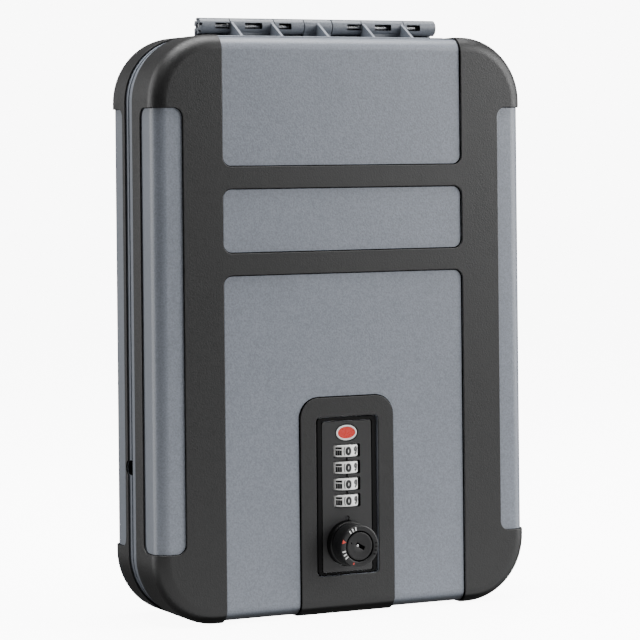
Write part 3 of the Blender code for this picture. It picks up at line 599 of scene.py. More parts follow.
def lofted(name, profile, *finishes):
    """A closed solid through the case's outline at each (inset, y) of the profile, capped at
    the profile's two ends."""
    bm = bmesh.new()
    rings = [[bm.verts.new((x, y, z)) for x, z in outline(inset)] for inset, y in profile]
    for lower, upper in zip(rings, rings[1:]):
        for i in range(len(lower)):
            j = (i + 1) % len(lower)
            bm.faces.new((lower[i], lower[j], upper[j], upper[i]))
    bm.faces.new(rings[0])
    bm.faces.new(rings[-1])
    return new_piece(name, mesh_from(bm, name), *finishes)


def panel_window(name, low_z, high_z, y_low, y_high, shrink, *finishes):
    half = PANEL_HALF_WIDTH - shrink
    return block(name, (-half, y_low, low_z + shrink), (half, y_high, high_z - shrink), *finishes,
                 radius=PANEL_CORNER - shrink, segments=8)


def strip_window(name, side, inner_y, outward, shrink, *finishes):
    """A window that wraps from a face round to the side of the case."""
    x_low, x_high = sorted((side * (STRIP_X + shrink), side * (HALF_WIDTH + FAR)))
    inner = inner_y + outward * shrink
    y_low, y_high = sorted((inner, outward * FAR * 1.5))
    bm = cube((x_low, y_low, STRIP_Z[0] + shrink), (x_high, y_high, STRIP_Z[1] - shrink))
    on_face = [e for e in bm.edges if runs_along(e, 1)
               and abs(abs(e.verts[0].co.x) - STRIP_X - shrink) < 1e-6]
    on_side = [e for e in bm.edges if runs_along(e, 0)
               and abs(e.verts[0].co.y - inner) < 1e-6]
    bmesh.ops.bevel(bm, geom=on_face + on_side, offset=STRIP_CORNER - shrink, segments=8,
                    profile=0.5, affect="EDGES", clamp_overlap=False)
    return new_piece(name, mesh_from(bm, name), *finishes)


def windows(face_y, rim_y, strip_y, panel_shrink=0.0, strip_shrink=0.0, *finishes):
    """A solid for each window of a bumper, drawn in by its shrink on every side."""
    outward = -1 if face_y < rim_y else 1
    y_low, y_high = sorted((face_y + outward * FAR, rim_y - outward * FAR))
    made = [panel_window(f"window_{name}", low, high, y_low, y_high, panel_shrink, *finishes)
            for name, (low, high) in PANEL_SPANS.items()]
    made += [strip_window(f"window_strip_{side}", side, strip_y, outward, strip_shrink, *finishes)
             for side in (-1, 1)]
    return made


def cable_notch():
    """A cutter for the round-ended notch in the base's left rim; it paints the notch's walls
    near-black as shade.
    """
    low = (-HALF_WIDTH - 0.002, BASE_RIM_Y - 0.0080, NOTCH_Z - NOTCH_RADIUS)
    high = (-HALF_WIDTH + 0.008, NOTCH_END_Y, NOTCH_Z + NOTCH_RADIUS)
    bm = cube(low, high)
    ends = [e for e in bm.edges if runs_along(e, 0) and e.verts[0].co.y > NOTCH_END_Y - 1e-6]
    bmesh.ops.bevel(bm, geom=ends, offset=NOTCH_RADIUS * 0.98, segments=8, profile=0.5,
                    affect="EDGES", clamp_overlap=False)
    return new_piece("notch", mesh_from(bm, "notch"), SHADE_AND_MARK_BLACK)


def bumper(name, face_y, rim_y, strip_y):
    """A black frame over one shell, with windows where the grey shell shows."""
    outward = -1 if face_y < rim_y else 1
    face = face_y + outward * PROUD
    profile = fillet(0, face, -outward) + [(0, rim_y), (SKIN, rim_y)]
    profile += reversed(fillet(SKIN, face - outward * SKIN, -outward))
    made = lofted(name, profile, BUMPER_BLACK)
    return carve(made, *windows(face_y, rim_y, strip_y))


def grooves(face_y, rim_y, strip_y, bumper_rim_y):
    """The narrow gaps cut into a shell round the edges of its bumper's windows, their walls
    near-black: the black layer under the bumper, deepened with painted shade.
    """
    outward = -1 if face_y < rim_y else 1
    depth = PROUD + GROOVE_DEPTH
    made = []
    outers = windows(face_y, rim_y, strip_y, -GROOVE_OVERLAP, -GROOVE_OVERLAP, SHADE_AND_MARK_BLACK)
    inners = windows(face_y, rim_y, strip_y, PANEL_GROOVE, STRIP_GROOVE)
    for outer, inner in zip(outers, inners):
        core_face = face_y - outward * GROOVE_DEPTH
        profile = fillet(depth, core_face, -outward) + [(depth, rim_y - outward * FAR)]
        core = lofted("core", profile)
        beyond = sorted((bumper_rim_y, bumper_rim_y - outward * FAR * 3))
        rest = block("rest", (-FAR * 4, beyond[0], -FAR * 4), (FAR * 4, beyond[1], FAR * 12))
        made.append(carve(outer, inner, core, rest))
    return made


def knuckle_span(low, high):
    low_gap = 0 if low == HINGE_X[0] else KNUCKLE_GAP / 2
    high_gap = 0 if high == HINGE_X[1] else KNUCKLE_GAP / 2
    return low + low_gap, high - high_gap


def knuckle(name, low, high, side, *finishes):
    """A barrel with the wall that ties it to its shell; side is -1 for the lid, 1 for the base."""
    near, far = WEB_SPANS[side]
    start = -math.acos(near / BARREL_RADIUS)
    end = -math.acos(far / BARREL_RADIUS) - 2 * math.pi
    arc = [start + (end - start) * i / KNUCKLE_STEPS for i in range(KNUCKLE_STEPS + 1)]
    points = [(HINGE_Y + side * BARREL_RADIUS * math.cos(a),
               HINGE_Z + BARREL_RADIUS * math.sin(a)) for a in arc]
    foot_z = TOP_Z - BARREL_SINK
    points += [(HINGE_Y + side * far, foot_z), (HINGE_Y + side * near, foot_z)]
    return prism_x(name, points, low, high, *finishes)


def rib(name, x):
    """A gusset from the top of a barrel down its front to the lid."""
    foot_z = TOP_Z - RIB_SINK
    points = [
        (HINGE_Y - 0.0004, HINGE_Z + BARREL_RADIUS - 0.0003),
        (HINGE_Y - RIB_REACH, foot_z + 0.0020),
        (HINGE_Y - RIB_REACH, foot_z),
        (HINGE_Y - 0.0018, foot_z),
        (HINGE_Y - 0.0004, HINGE_Z + 0.0018),
    ]
    made = prism_x(name, points, x - RIB_THICKNESS / 2, x + RIB_THICKNESS / 2, SHELL_GREY)
    return soften(made, width=0.00015)


def knuckles(prefix, spans, slots, side):
    """A shell's hinge barrels, in the shell grey darkened as painted shade, bored for the pin and
    slotted.
    """
    made = []
    for number, (low, high) in enumerate(spans, start=1):
        low, high = knuckle_span(low, high)
        piece = knuckle(f"{prefix}_barrel_{number}", low, high, side, HINGE_SHADED_GREY)
        cutters = [rod("bore", BARREL_BORE, (HINGE_X[0] - 0.01, HINGE_Y, HINGE_Z), 0.14,
                       rotation=SIDEWARD)]
        # The slots' walls are painted near-black as shade round the pin.
        for slot_low, slot_high in slots:
            if slot_low < high and slot_high > low:
                cutters.append(block(
                    "slot", (slot_low, HINGE_Y - FAR / 2, HINGE_Z - SLOT_HALF_HEIGHT),
                    (slot_high, HINGE_Y - 0.0005, HINGE_Z + SLOT_HALF_HEIGHT), SHADE_AND_MARK_BLACK))
        if low == HINGE_X[0]:
            for i in range(TEETH):
                tooth = block("tooth", TOOTH_LOW, TOOTH_HIGH)
                tooth.location = (HINGE_X[0], HINGE_Y, HINGE_Z)
                tooth.rotation_euler = (2 * math.pi * i / TEETH + TOOTH_START, 0, 0)
                cutters.append(tooth)
        carve(piece, *cutters)
        made.append(soften(piece, width=0.00022))
    return made


def shell_profile(face_y, rim_y, ends):
    """The (inset, y) profile of a shell, with the rim's points in `ends`."""
    inward = 1 if face_y < rim_y else -1
    inner = PROUD + WALL
    profile = fillet(PROUD, face_y, inward) + [(PROUD, rim_y)] + ends
    return profile + list(reversed(fillet(inner, face_y + inward * WALL, inward)))


def make_base():
    tongue_y = BASE_RIM_Y - TONGUE_REACH
    outer, inner = PROUD + TONGUE_OUTSET, PROUD + TONGUE_OUTSET + TONGUE_THICKNESS
    root_y = BASE_RIM_Y + TONGUE_ROOT
    ends = [(outer, BASE_RIM_Y), (outer, tongue_y), (inner, tongue_y), (inner, root_y),
            (PROUD + WALL, root_y)]
    case = lofted("base_case", shell_profile(BACK_Y, BASE_RIM_Y, ends), SHELL_GREY, SHADE_AND_MARK_BLACK)
    # The tongue's outer faces, seen through the gap between the rims, are painted near-black as
    # shade.
    for face in case.data.polygons:
        if tongue_y - 1e-5 < face.center.y < BASE_RIM_Y - 1e-5:
            face.material_index = 1
    carve(case, *grooves(BACK_Y, BASE_RIM_Y, BASE_STRIP_Y, BASE_BUMPER_RIM_Y), cable_notch())
    soften(case, width=0.00025)

    seat = block("keeper_seat", SEAT_LOW, SEAT_HIGH, SHELL_GREY)
    # The anchor post in the notch is painted near-black as shade.
    post = front_rod("post", POST_RADIUS, POST_X, NOTCH_Z, POST_FRONT_Y, BACK_Y - WALL + 0.0010,
                     SHADE_AND_MARK_BLACK)
    web_front, web_back = WEB_SPANS[1]
    # The ledge under the barrels takes the bumper's black as painted shade.
    ledge = block("ledge", (HINGE_X[0] + LEDGE_INSET, HINGE_Y + web_front, TOP_Z - BARREL_SINK),
                  (HINGE_X[1] - LEDGE_INSET, HINGE_Y + web_back, LEDGE_TOP_Z), BUMPER_BLACK)
    inner_x, middle_x, outer_x = KNUCKLE_ENDS
    spans = [(HINGE_X[0], -outer_x), (-middle_x, -inner_x), (inner_x, middle_x),
             (outer_x, HINGE_X[1])]
    barrels = knuckles("base", spans, BASE_SLOTS, 1)
    case = joined("base_case", case, soften(seat, width=0.0004),
                  soften(post, width=0.0006, segments=3), soften(ledge, width=0.0002), *barrels)
    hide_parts("base_shell")
    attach(case, "base")

    frame_piece = bumper("base_bumper_frame", BACK_Y, BASE_BUMPER_RIM_Y, BASE_STRIP_Y)
    carve(frame_piece, cable_notch())
    soften(frame_piece, width=0.00035, segments=3)
    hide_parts("base_bumper")
    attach(frame_piece, "base")


def make_lid():
    step = PROUD + REBATE_OUTSET
    ends = [(step, LID_RIM_Y), (step, LID_RIM_Y - REBATE_DEPTH),
            (PROUD + WALL, LID_RIM_Y - REBATE_DEPTH)]
    case = lofted("lid_case", shell_profile(FRONT_Y, LID_RIM_Y, ends), SHELL_GREY)
    opening = block("opening", (-OPENING_HALF_WIDTH, FRONT_Y - 0.002, OPENING_Z[0]),
                    (OPENING_HALF_WIDTH, FRONT_Y + WALL + 0.002, OPENING_Z[1]), radius=0.0015)
    carve(case, *grooves(FRONT_Y, LID_RIM_Y, LID_STRIP_Y, LID_BUMPER_RIM_Y), surround_groove(),
          opening)
    split_walls(case)
    soften(case, width=0.00025)

    bosses = []
    for z in BOSS_Z:
        for x in BOSS_X:
            boss = front_rod("boss", BOSS_RADIUS, x, z, FRONT_Y + WALL - 0.0010, BOSS_BACK_Y,
                             SHELL_GREY)
            carve(boss, front_rod("hole", BOSS_BORE, x, z, BOSS_BORE_Y, 0))
            bosses.append(soften(boss, width=0.0002))
    inner_x, middle_x, outer_x = KNUCKLE_ENDS
    spans = [(-outer_x, -middle_x), (-inner_x, inner_x), (middle_x, outer_x)]
    barrels = knuckles("lid", spans, LID_SLOTS, -1)
    inside = KNUCKLE_GAP / 2 + RIB_THICKNESS / 2 + 0.00015
    ribs = [rib("rib", x) for x in (-outer_x + inside, -middle_x - inside, 0, middle_x + inside,
                                    outer_x - inside)]
    plinth = block("plinth", (-PLINTH_HALF_WIDTH, PLINTH_Y[0], TOP_Z - RIB_SINK),
                   (PLINTH_HALF_WIDTH, PLINTH_Y[1], PLINTH_TOP_Z), SHELL_GREY)
    soften(plinth, width=0.00035, segments=3)
    case = joined("lid_case", case, *bosses, *barrels, *ribs, plinth)
    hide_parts("lid_shell")
    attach(case, "lid")

    frame_piece = bumper("lid_bumper_frame", FRONT_Y, LID_BUMPER_RIM_Y, LID_STRIP_Y)
    soften(frame_piece, width=0.00035, segments=3)
    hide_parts("lid_bumper")
    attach(frame_piece, "lid")


def surround_column(name, grow, *finishes):
    """A solid with the band's outline, grown by this much, from below the box upwards."""
    return block(name, (-SURROUND_HALF_WIDTH - grow, -FAR, -FAR),
                 (SURROUND_HALF_WIDTH + grow, LID_BUMPER_RIM_Y, SURROUND_TOP_Z + grow), *finishes,
                 radius=SURROUND_CORNER + grow, segments=10)


def surround_groove():
    """The gap in the lid's shell round the lock's black band, its walls near-black with painted
    shade.
    """
    depth = PROUD + SURROUND_GROOVE_DEPTH
    floor_y = FRONT_Y + SURROUND_GROOVE_DEPTH
    groove = surround_column("surround_groove", SURROUND_GROOVE, SHADE_AND_MARK_BLACK)
    core = lofted("core", fillet(depth, floor_y, 1) + [(depth, LID_RIM_Y + FAR)])
    return carve(groove, surround_column("inner", -SURROUND_OVERLAP), core)


def make_surround():
    inset, face = PROUD - SURROUND_PROUD, FRONT_Y - SURROUND_PROUD
    skin = SURROUND_PROUD - GAP
    profile = fillet(inset, face, 1)
    profile += [(inset, LID_BUMPER_RIM_Y), (inset + skin, LID_BUMPER_RIM_Y)]
    profile += reversed(fillet(inset + skin, face + skin, 1))
    made = lofted("lock_band", profile, BUMPER_BLACK)
    boolean(made, "INTERSECT", surround_column("column", 0))
    carve(made, block("opening", (-OPENING_HALF_WIDTH, -FAR, OPENING_Z[0]),
                      (OPENING_HALF_WIDTH, 0, OPENING_Z[1]), radius=0.0019))
    split_walls(made)
    soften(made, width=0.0003, segments=3)
    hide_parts("lock_surround")
    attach(made, "lid")


# Lock -------------------------------------------------------------


def make_bezel():
    """The sunk frame between the band's opening and the plate, its black deepened as painted
    shade.
    """
    low = Vector((BEZEL_LOW.x, BEZEL_HIGH.y - FRAME_DEPTH, BEZEL_LOW.z))
    made = block("lock_frame", low, BEZEL_HIGH, BEZEL_SHADE_BLACK, radius=FRAME_CORNER)
    carve(made, block("hole", (PLATE_LOW.x - GAP, -FAR, PLATE_LOW.z - GAP),
                      (PLATE_HIGH.x + GAP, 0, PLATE_HIGH.z + GAP), radius=FRAME_HOLE_CORNER))
    soften(made, width=0.0003, segments=3)
    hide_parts("lock_bezel")
    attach(made, "lid")


def badge_outline(name, grow, front_y, back_y, *finishes):
    """The badge's oval, grown by this much, as a solid between two depths."""
    made = rod(name, 1.0, (0, 0, 0), 1.0, *finishes, steps=48)
    made.matrix_world = (Matrix.Translation((0, back_y, BADGE_Z))
                         @ Matrix.Rotation(math.pi / 2, 4, "X")
                         @ Matrix.Diagonal((BADGE_SIZE[0] / 2 + grow, BADGE_SIZE[1] / 2 + grow,
                                            back_y - front_y, 1.0)))
    return settle(made)


def make_plate():
    made = block("lock_face", PLATE_LOW, PLATE_HIGH, PLATE_BLACK, SHADE_AND_MARK_BLACK,
                 radius=PLATE_CORNER)
    # The plate's side walls are painted near-black as shade in the gap round it.
    for face in made.data.polygons:
        if abs(face.normal.y) < 0.5:
            face.material_index = 1
    half_x, half_z = WINDOW_SIZE[0] / 2, WINDOW_SIZE[1] / 2
    # The cutters paint the walls of the windows, slit, knob hole and reset hole near-black as
    # shade.
    cutters = [block("window", (-half_x, -FAR, z - half_z), (half_x, 0, z + half_z), SHADE_AND_MARK_BLACK,
                     radius=WINDOW_CORNER)
               for z in WHEEL_Z]
    cutters += [
        block("slit", (-SLIT_HALF_WIDTH, -FAR, WHEEL_Z[-1]),
              (SLIT_HALF_WIDTH, FRONT_Y + SLIT_DEPTH, WHEEL_Z[0]), SHADE_AND_MARK_BLACK),
        front_rod("knob_hole", COLLAR_RADIUS + GAP, 0, KNOB_Z, -FAR, 0, SHADE_AND_MARK_BLACK, steps=64),
        front_rod("reset_hole", RESET_RADIUS, 0, RESET_Z, -FAR, 0, SHADE_AND_MARK_BLACK),
        badge_outline("badge_recess", BADGE_GAP, FRONT_Y - 0.002, FRONT_Y + BADGE_DEPTH,
                      PLATE_BLACK),
    ]
    carve(made, *cutters)
    soften(made, width=0.00015)
    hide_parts("lock_plate")
    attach(made, "lid")

    rim = badge_outline("oval_badge", 0, FRONT_Y - 0.00005, FRONT_Y + 0.0003, INK_WHITE)
    carve(rim, badge_outline("field", -BADGE_RIM, -FAR, FRONT_Y + 0.00004, BADGE_RED))
    badge = soften(rim, width=0.00006)
    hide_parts("lock_badge")
    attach(badge, "lid")


def figure(text, angle, z, size):
    """A printed figure on a wheel, wrapped round its rim."""
    width, height = size
    curve = bpy.data.curves.new("figure", "FONT")
    curve.body = text
    curve.align_x = "CENTER"
    curve.align_y = "CENTER"
    curve.resolution_u = 6
    curve.extrude = 0.02
    curve.offset = FIGURE_WEIGHT
    made = bpy.data.objects.new("figure", curve)
    bpy.context.scene.collection.objects.link(made)
    made = settle(made)
    mesh = made.data
    xs = [v.co.x for v in mesh.vertices]
    ys = [v.co.y for v in mesh.vertices]
    mid_x, mid_y = (min(xs) + max(xs)) / 2, (min(ys) + max(ys)) / 2
    size_x, size_y = max(xs) - min(xs), max(ys) - min(ys)
    bm = bmesh.new()
    bm.from_mesh(mesh)
    for i in range(1, FIGURE_SLICES):
        plane_x = min(xs) + size_x * i / FIGURE_SLICES
        bmesh.ops.bisect_plane(bm, geom=bm.verts[:] + bm.edges[:] + bm.faces[:],
                               plane_co=(plane_x, 0, 0), plane_no=(1, 0, 0))
    for v in bm.verts:
        across = (v.co.x - mid_x) / size_x * width
        turn = angle + across / WHEEL_RADIUS
        radius = WHEEL_RADIUS + (INK_HEIGHT if v.co.z > 0 else -INK_SINK)
        up = (v.co.y - mid_y) / size_y * height
        v.co = Vector((radius * math.sin(turn), WHEEL_Y - radius * math.cos(turn), z + up))
    bmesh.ops.remove_doubles(bm, verts=bm.verts, dist=1e-7)
    bmesh.ops.recalc_face_normals(bm, faces=bm.faces)
    bm.to_mesh(mesh)
    bm.free()
    mesh.materials.clear()
    mesh.materials.append(INK_BLACK)
    return made


def turned_box(name, angle, low, high, *finishes):
    """A box on a wheel's rim: x along the rim, y inward from it and z up, turned to an angle."""
    made = block(name, low, high, *finishes)
    direction = Vector((math.sin(angle), -math.cos(angle), 0))
    made.location = Vector((0, WHEEL_Y, 0)) + direction * WHEEL_RADIUS
    made.rotation_euler = (0, 0, angle)
    return made


def make_wheel(number, z):
    half, rim, edge = WHEEL_WIDTH / 2, WHEEL_RADIUS, WHEEL_EDGE
    profile = [(WHEEL_BORE, half), (rim - edge, half), (rim - 0.0001, half - 0.00012),
               (rim, half - edge), (rim, -half + edge), (rim - 0.0001, -half + 0.00012),
               (rim - edge, -half), (WHEEL_BORE, -half)]
    wheel = lathe(f"dial_{number}", profile, DIAL_WHITE, location=(0, WHEEL_Y, z), steps=96)
    # The pockets' walls are painted near-black as shade.
    pockets = [turned_box("pocket", POCKET_ANGLE, (-POCKET_HALF_WIDTH, -POCKET_DEPTH, z + low),
                          (POCKET_HALF_WIDTH, POCKET_DEPTH, z + high), DIAL_POCKET_SHADE)
               for low, high in (LOW_POCKET, HIGH_POCKET)]
    carve(wheel, *pockets)
    soften(wheel, width=0.00010)
    figures = [figure(text, FIGURE_START + FIGURE_PITCH * i, z, FIGURE_SIZE)
               for i, text in enumerate(FIGURES)]
    figures.append(figure("(", MARK_ANGLE, z, MARK_SIZE))
    # The ribs in the pocket are painted grey as shade.
    low, high = LOW_POCKET
    ribs = [turned_box("rib", POCKET_ANGLE,
                       (x - POCKET_RIB_HALF_WIDTH, POCKET_RIB_TOP, z + low),
                       (x + POCKET_RIB_HALF_WIDTH, POCKET_DEPTH, z + high), POCKET_RIB_SHADE)
            for x in POCKET_RIB_X]
    wheel = joined(f"dial_{number}", wheel, *figures, *ribs)
    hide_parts(WHEELS[number - 1])
    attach(wheel, f"dial_{number}")


def on_knob(name, points, finish, proud=PRINT_HEIGHT):
    """A thin printed mark on the knob's face, with an outline of (x, z) points from its axis."""
    bm = bmesh.new()
    face = bm.faces.new([bm.verts.new((x, KNOB_FACE_Y - proud, KNOB_Z + z)) for x, z in points])
    grown = bmesh.ops.extrude_face_region(bm, geom=[face])
    moved = [v for v in grown["geom"] if isinstance(v, bmesh.types.BMVert)]
    bmesh.ops.translate(bm, verts=moved, vec=(0, proud + PRINT_SINK, 0))
    return new_piece(name, mesh_from(bm, name), finish)


def heading(degrees):
    """The way from the knob's axis at an angle from +X towards +Z, and the way across it."""
    angle = math.radians(degrees)
    out = Vector((math.cos(angle), math.sin(angle)))
    return out, Vector((-out.y, out.x))


def radial_bar(name, degrees, radius, length, width, finish, proud=PRINT_HEIGHT):
    """A bar on the knob's face that points away from its axis."""
    out, side = heading(degrees)
    centre = out * radius
    points = [centre + out * a * length / 2 + side * b * width / 2
              for a, b in ((-1, -1), (1, -1), (1, 1), (-1, 1))]
    return on_knob(name, points, finish, proud)


def make_knob():
    r = KNOB_RADIUS
    bore, mouth = CORE_RADIUS + CORE_GAP, CORE_RADIUS + 0.00055
    skirt = KNOB_FACE_Y - COLLAR_FRONT_Y + GAP
    hub_end = KNOB_FACE_Y - HUB_BACK_Y
    profile = [(0, -BORE_DEPTH), (bore, -BORE_DEPTH), (bore, -0.0018), (mouth, -0.0016),
               (mouth, -0.00020), (mouth + 0.00008, -0.00005), (mouth + 0.0002, 0),
               (r - 0.0005, 0), (r - 0.00025, -0.00006), (r - 0.00007, -0.00024), (r, -0.0005),
               (r, skirt + 0.0003), (r - 0.0003, skirt), (HUB_RADIUS, skirt),
               (HUB_RADIUS, hub_end), (0, hub_end)]
    # The bore's faces, the profile's first four stretches, are painted near-black as shade.
    bands = [1, 1, 1, 1] + [0] * 12
    knob = lathe("turn_knob", profile, KNOB_BLACK, SHADE_AND_MARK_BLACK,
                 location=(0, KNOB_FACE_Y, KNOB_Z), rotation=FRONTWARD, steps=128, bands=bands)
    smooth(knob, 40)
    marks = [radial_bar("tick", angle, TICK_RADIUS, TICK_LENGTH, TICK_WIDTH, INK_WHITE)
             for angle in TICK_ANGLES]
    out, side = heading(POINTER_ANGLE)
    tip, foot = out * POINTER_TIP, out * POINTER_FOOT
    half = side * POINTER_HALF_WIDTH
    marks.append(on_knob("pointer", [tip, foot - half, foot + half], MARK_RED))
    marks.append(radial_bar("red_bar", RED_BAR_ANGLE, RED_BAR_RADIUS, RED_BAR_LENGTH,
                            RED_BAR_WIDTH, MARK_RED))
    marks += [radial_bar("embossed", angle, EMBOSSED_RADIUS, EMBOSSED_LENGTH, EMBOSSED_WIDTH,
                         SHADE_AND_MARK_BLACK, EMBOSSED_HEIGHT)
              for angle in EMBOSSED_ANGLES]
    knob = joined("turn_knob", knob, *marks)
    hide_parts("knob")
    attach(knob, "turner")


def make_collar():
    top, bottom = -COLLAR_FRONT_Y, -COLLAR_BACK_Y
    outer, inner = COLLAR_RADIUS, HUB_RADIUS + GAP
    profile = [(outer - 0.0006, top), (outer - 0.0002, top - 0.0002), (outer, top - 0.0006),
               (outer, bottom), (inner, bottom), (inner, top)]
    # The collar's near-black finish holds painted shade round the knob.
    collar = lathe("collar_ring", profile, COLLAR_SHADE_BLACK, location=(0, 0, KNOB_Z),
                   rotation=FRONTWARD, steps=128)
    smooth(collar, 50)
    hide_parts("knob_collar")
    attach(collar, "lid")


def make_core():
    face_y = KNOB_FACE_Y + CORE_SUNK
    rim, back = CORE_RADIUS, -BORE_DEPTH + GAP
    profile = [(0, -0.00022), (0.0030, -0.00018), (rim - 0.0009, -0.00004), (rim - 0.00035, 0),
               (rim - 0.0001, -0.00008), (rim, -0.0003), (rim, back), (0, back)]
    core = lathe("key_plug", profile, CORE_BLACK, location=(0, face_y, KNOB_Z),
                 rotation=FRONTWARD, steps=96)
    # The keyway and the dimple paint their walls near-black as shade.
    keyway = block("keyway", KEYWAY_LOW, KEYWAY_HIGH, SHADE_AND_MARK_BLACK)
    keyway.location = (KEYWAY_X, face_y, KNOB_Z)
    keyway.rotation_euler = (math.pi / 2, KEYWAY_TURN, 0)
    dimple = front_rod("dimple", DIMPLE_RADIUS, DIMPLE_X, KNOB_Z + DIMPLE_RISE, face_y - 0.001,
                       face_y + DIMPLE_DEPTH, SHADE_AND_MARK_BLACK)
    carve(core, keyway, dimple)
    soften(core, width=0.00008)
    wafer = rod("wafer", WAFER_RADIUS, (WAFER_X, face_y + WAFER_DEPTH, KNOB_Z + WAFER_RISE),
                WAFER_LENGTH, BRIGHT_STEEL, rotation=FRONTWARD)
    core = joined("key_plug", core, soften(wafer, width=0.0003, segments=3))
    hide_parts("key_core")
    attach(core, "core")


# Foam -------------------------------------------------------------


def make_foam(name, node, body, towards):
    """An egg-crate foam pad in its CAD solid's space; towards is the side its crests face."""
    low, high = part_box(node)
    radius = FOAM_CORNER[body]
    back_y = high.y if towards < 0 else low.y
    width, thickness, height = (end - start for start, end in zip(low, high))
    mid_x, mid_z = (low.x + high.x) / 2, (low.z + high.z) / 2
    count_x, count_z = round(width / FOAM_CELL), round(height / FOAM_CELL)
    bm = bmesh.new()
    rows = []
    for j in range(count_z + 1):
        row = []
        for i in range(count_x + 1):
            x = low.x + width * i / count_x
            z = low.z + height * j / count_z
            wave = (math.sin(2 * math.pi * x / FOAM_PERIOD)
                    * math.sin(2 * math.pi * z / FOAM_PERIOD))
            corner_x = max(0.0, abs(x - mid_x) - (width / 2 - radius))
            corner_z = max(0.0, abs(z - mid_z) - (height / 2 - radius))
            edge = radius - math.hypot(corner_x, corner_z)
            soft = max(0.0, min(1.0, edge / FOAM_MARGIN))
            soft = math.sqrt(1 - (1 - soft) ** 2)
            rise = thickness - FOAM_RISE + FOAM_RISE * wave * soft
            rise *= FOAM_EDGE + (1 - FOAM_EDGE) * soft
            row.append(bm.verts.new((x, back_y + towards * rise, z)))
        rows.append(row)
    for j in range(count_z):
        for i in range(count_x):
            bm.faces.new((rows[j][i], rows[j][i + 1], rows[j + 1][i + 1], rows[j + 1][i]))
    border = [e for e in bm.edges if e.is_boundary]
    grown = bmesh.ops.extrude_edge_only(bm, edges=border)
    for v in grown["geom"]:
        if isinstance(v, bmesh.types.BMVert):
            v.co.y = back_y
    bmesh.ops.contextual_create(bm, geom=[e for e in bm.edges if e.is_boundary])
    made = new_piece(name, mesh_from(bm, name), FOAM)
    column = block("column", (low.x, low.y - 0.01, low.z), (high.x, high.y + 0.01, high.z), FOAM,
                   radius=radius, segments=12)
    boolean(made, "INTERSECT", column)
    smooth(made, 50)
    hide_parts(node)
    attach(made, body)


# Assembly ---------------------------------------------------------

CAD_FINISHES = (
    (STEEL, ("keeper_plate", "housing_cover", "knob_spindle", "latch_cam")),
    (BRIGHT_STEEL, ("keeper_screw_1", "keeper_screw_2", "cover_screw_1", "cover_screw_2",
                    "cover_screw_3", "cover_screw_4", "dial_axle", "cam_screw")),
    (PALE_STEEL, ("hinge_pin",)),
    (SPRING_STEEL, ("detent_spring", "reset_spring")),
    (BLACK_STEEL, ("clutch_sleeve_1", "clutch_sleeve_2", "clutch_sleeve_3", "clutch_sleeve_4",
                   "reset_button")),
    (ZINC, ("lock_housing",)),
)


def dress_cad():
    """Gives the CAD solids that stay in view their finishes."""
    for finish, names in CAD_FINISHES:
        for name in names:
            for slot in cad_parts[name].material_slots:
                slot.material = finish


make_base()
make_lid()
make_surround()
make_bezel()
make_plate()
for wheel_number, wheel_z in enumerate(WHEEL_Z, start=1):
    make_wheel(wheel_number, wheel_z)
make_knob()
make_collar()
make_core()
make_foam("base_pad", "base_foam", "base", -1)
make_foam("lid_pad", "lid_foam", "lid", 1)
dress_cad()

# Stage ------------------------------------------------------------

PALE = 9.0
FLOOR_BOUNCE = 0.15
WORLD_LIGHT = 0.11
MIDDLE = (0.0, 0.0, 0.13)
# Name, place, target, size in metres and power in watts.
LIGHTS = (
    ("key", (0.728, -0.611, 0.45), MIDDLE, (0.5, 0.7), 10.5),
    ("side", (0.918, -0.246, 0.35), MIDDLE, (0.5, 0.9), 6.8),
    ("top", (0, 0, 1.1), MIDDLE, (1.0, 0.7), 24.5),
    ("left", (-0.823, 0.475, 0.3), MIDDLE, (0.7, 1.0), 9.2),
    ("bounce", (0, -0.165, 0.003), (0, -0.165, 1.0), (0.5, 0.29), 0.55),
)
CAMERA_PLACE = (-0.5267, -1.0745, 0.1942)
CAMERA_TURN = math.radians(-26.03)
CAMERA_ROLL = math.radians(-0.568)
LENS = 155.25
SHIFT = -0.2505


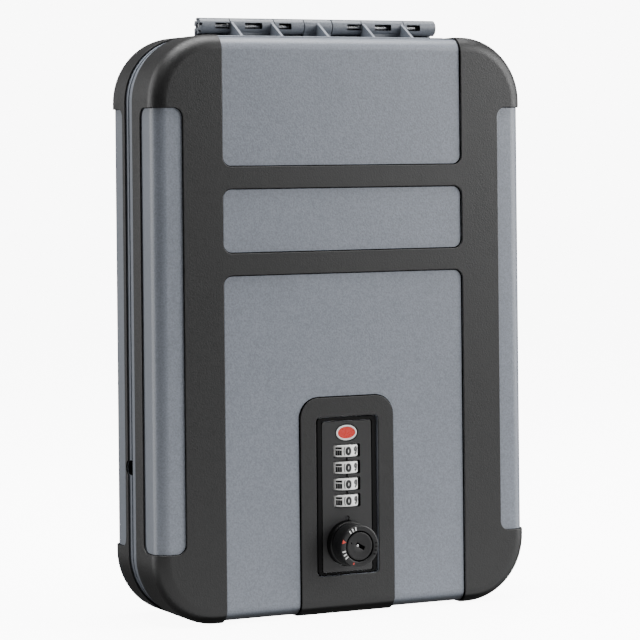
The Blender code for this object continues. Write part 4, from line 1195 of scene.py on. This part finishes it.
def make_floor():
    bm = bmesh.new()
    bmesh.ops.create_grid(bm, x_segments=1, y_segments=1, size=6.0)
    n = Nodes("floor_pale", 0.85)
    tint = n.ramp(n.noise(0.5), (0.86, 0.86, 0.86), (0.88, 0.88, 0.88))
    n.link(tint, n.shader.inputs["Base Color"])
    n.shader.inputs["Specular IOR Level"].default_value = 0.1
    n.shader.inputs["Emission Color"].default_value = (1, 1, 1, 1)
    n.shader.inputs["Emission Strength"].default_value = PALE - FLOOR_BOUNCE
    floor = new_piece("floor", mesh_from(bm, "floor"), n.material)
    floor.visible_diffuse = False
    floor.visible_glossy = False


def area_light(name, location, target, size, power):
    data = bpy.data.lights.new(name, "AREA")
    data.shape = "RECTANGLE"
    data.size, data.size_y = size
    data.energy = power
    thing = bpy.data.objects.new(name, data)
    thing.location = location
    direction = Vector(target) - Vector(location)
    thing.rotation_euler = direction.to_track_quat("-Z", "Y").to_euler()
    bpy.context.scene.collection.objects.link(thing)


def make_world():
    """A world that the camera sees as pale as the floor, and that lights the box only weakly."""
    world = bpy.data.worlds.new("studio")
    bpy.context.scene.world = world
    world.use_nodes = True
    tree = world.node_tree
    background = tree.nodes["Background"]
    background.inputs["Color"].default_value = (1.0, 1.0, 1.0, 1.0)
    path = tree.nodes.new("ShaderNodeLightPath")
    level = tree.nodes.new("ShaderNodeMapRange")
    level.inputs["To Min"].default_value = WORLD_LIGHT
    level.inputs["To Max"].default_value = PALE
    tree.links.new(path.outputs["Is Camera Ray"], level.inputs["Value"])
    tree.links.new(level.outputs["Result"], background.inputs["Strength"])


def make_camera():
    data = bpy.data.cameras.new("camera")
    data.lens = LENS
    data.sensor_width = 36.0
    data.shift_y = SHIFT
    data.clip_end = 20
    thing = bpy.data.objects.new("camera", data)
    thing.matrix_world = (Matrix.Translation(CAMERA_PLACE)
                          @ Matrix.Rotation(CAMERA_TURN, 4, "Z")
                          @ Matrix.Rotation(math.pi / 2, 4, "X")
                          @ Matrix.Rotation(CAMERA_ROLL, 4, "Z"))
    bpy.context.scene.collection.objects.link(thing)
    bpy.context.scene.camera = thing


make_floor()
make_world()
for light in LIGHTS:
    area_light(*light)
make_camera()
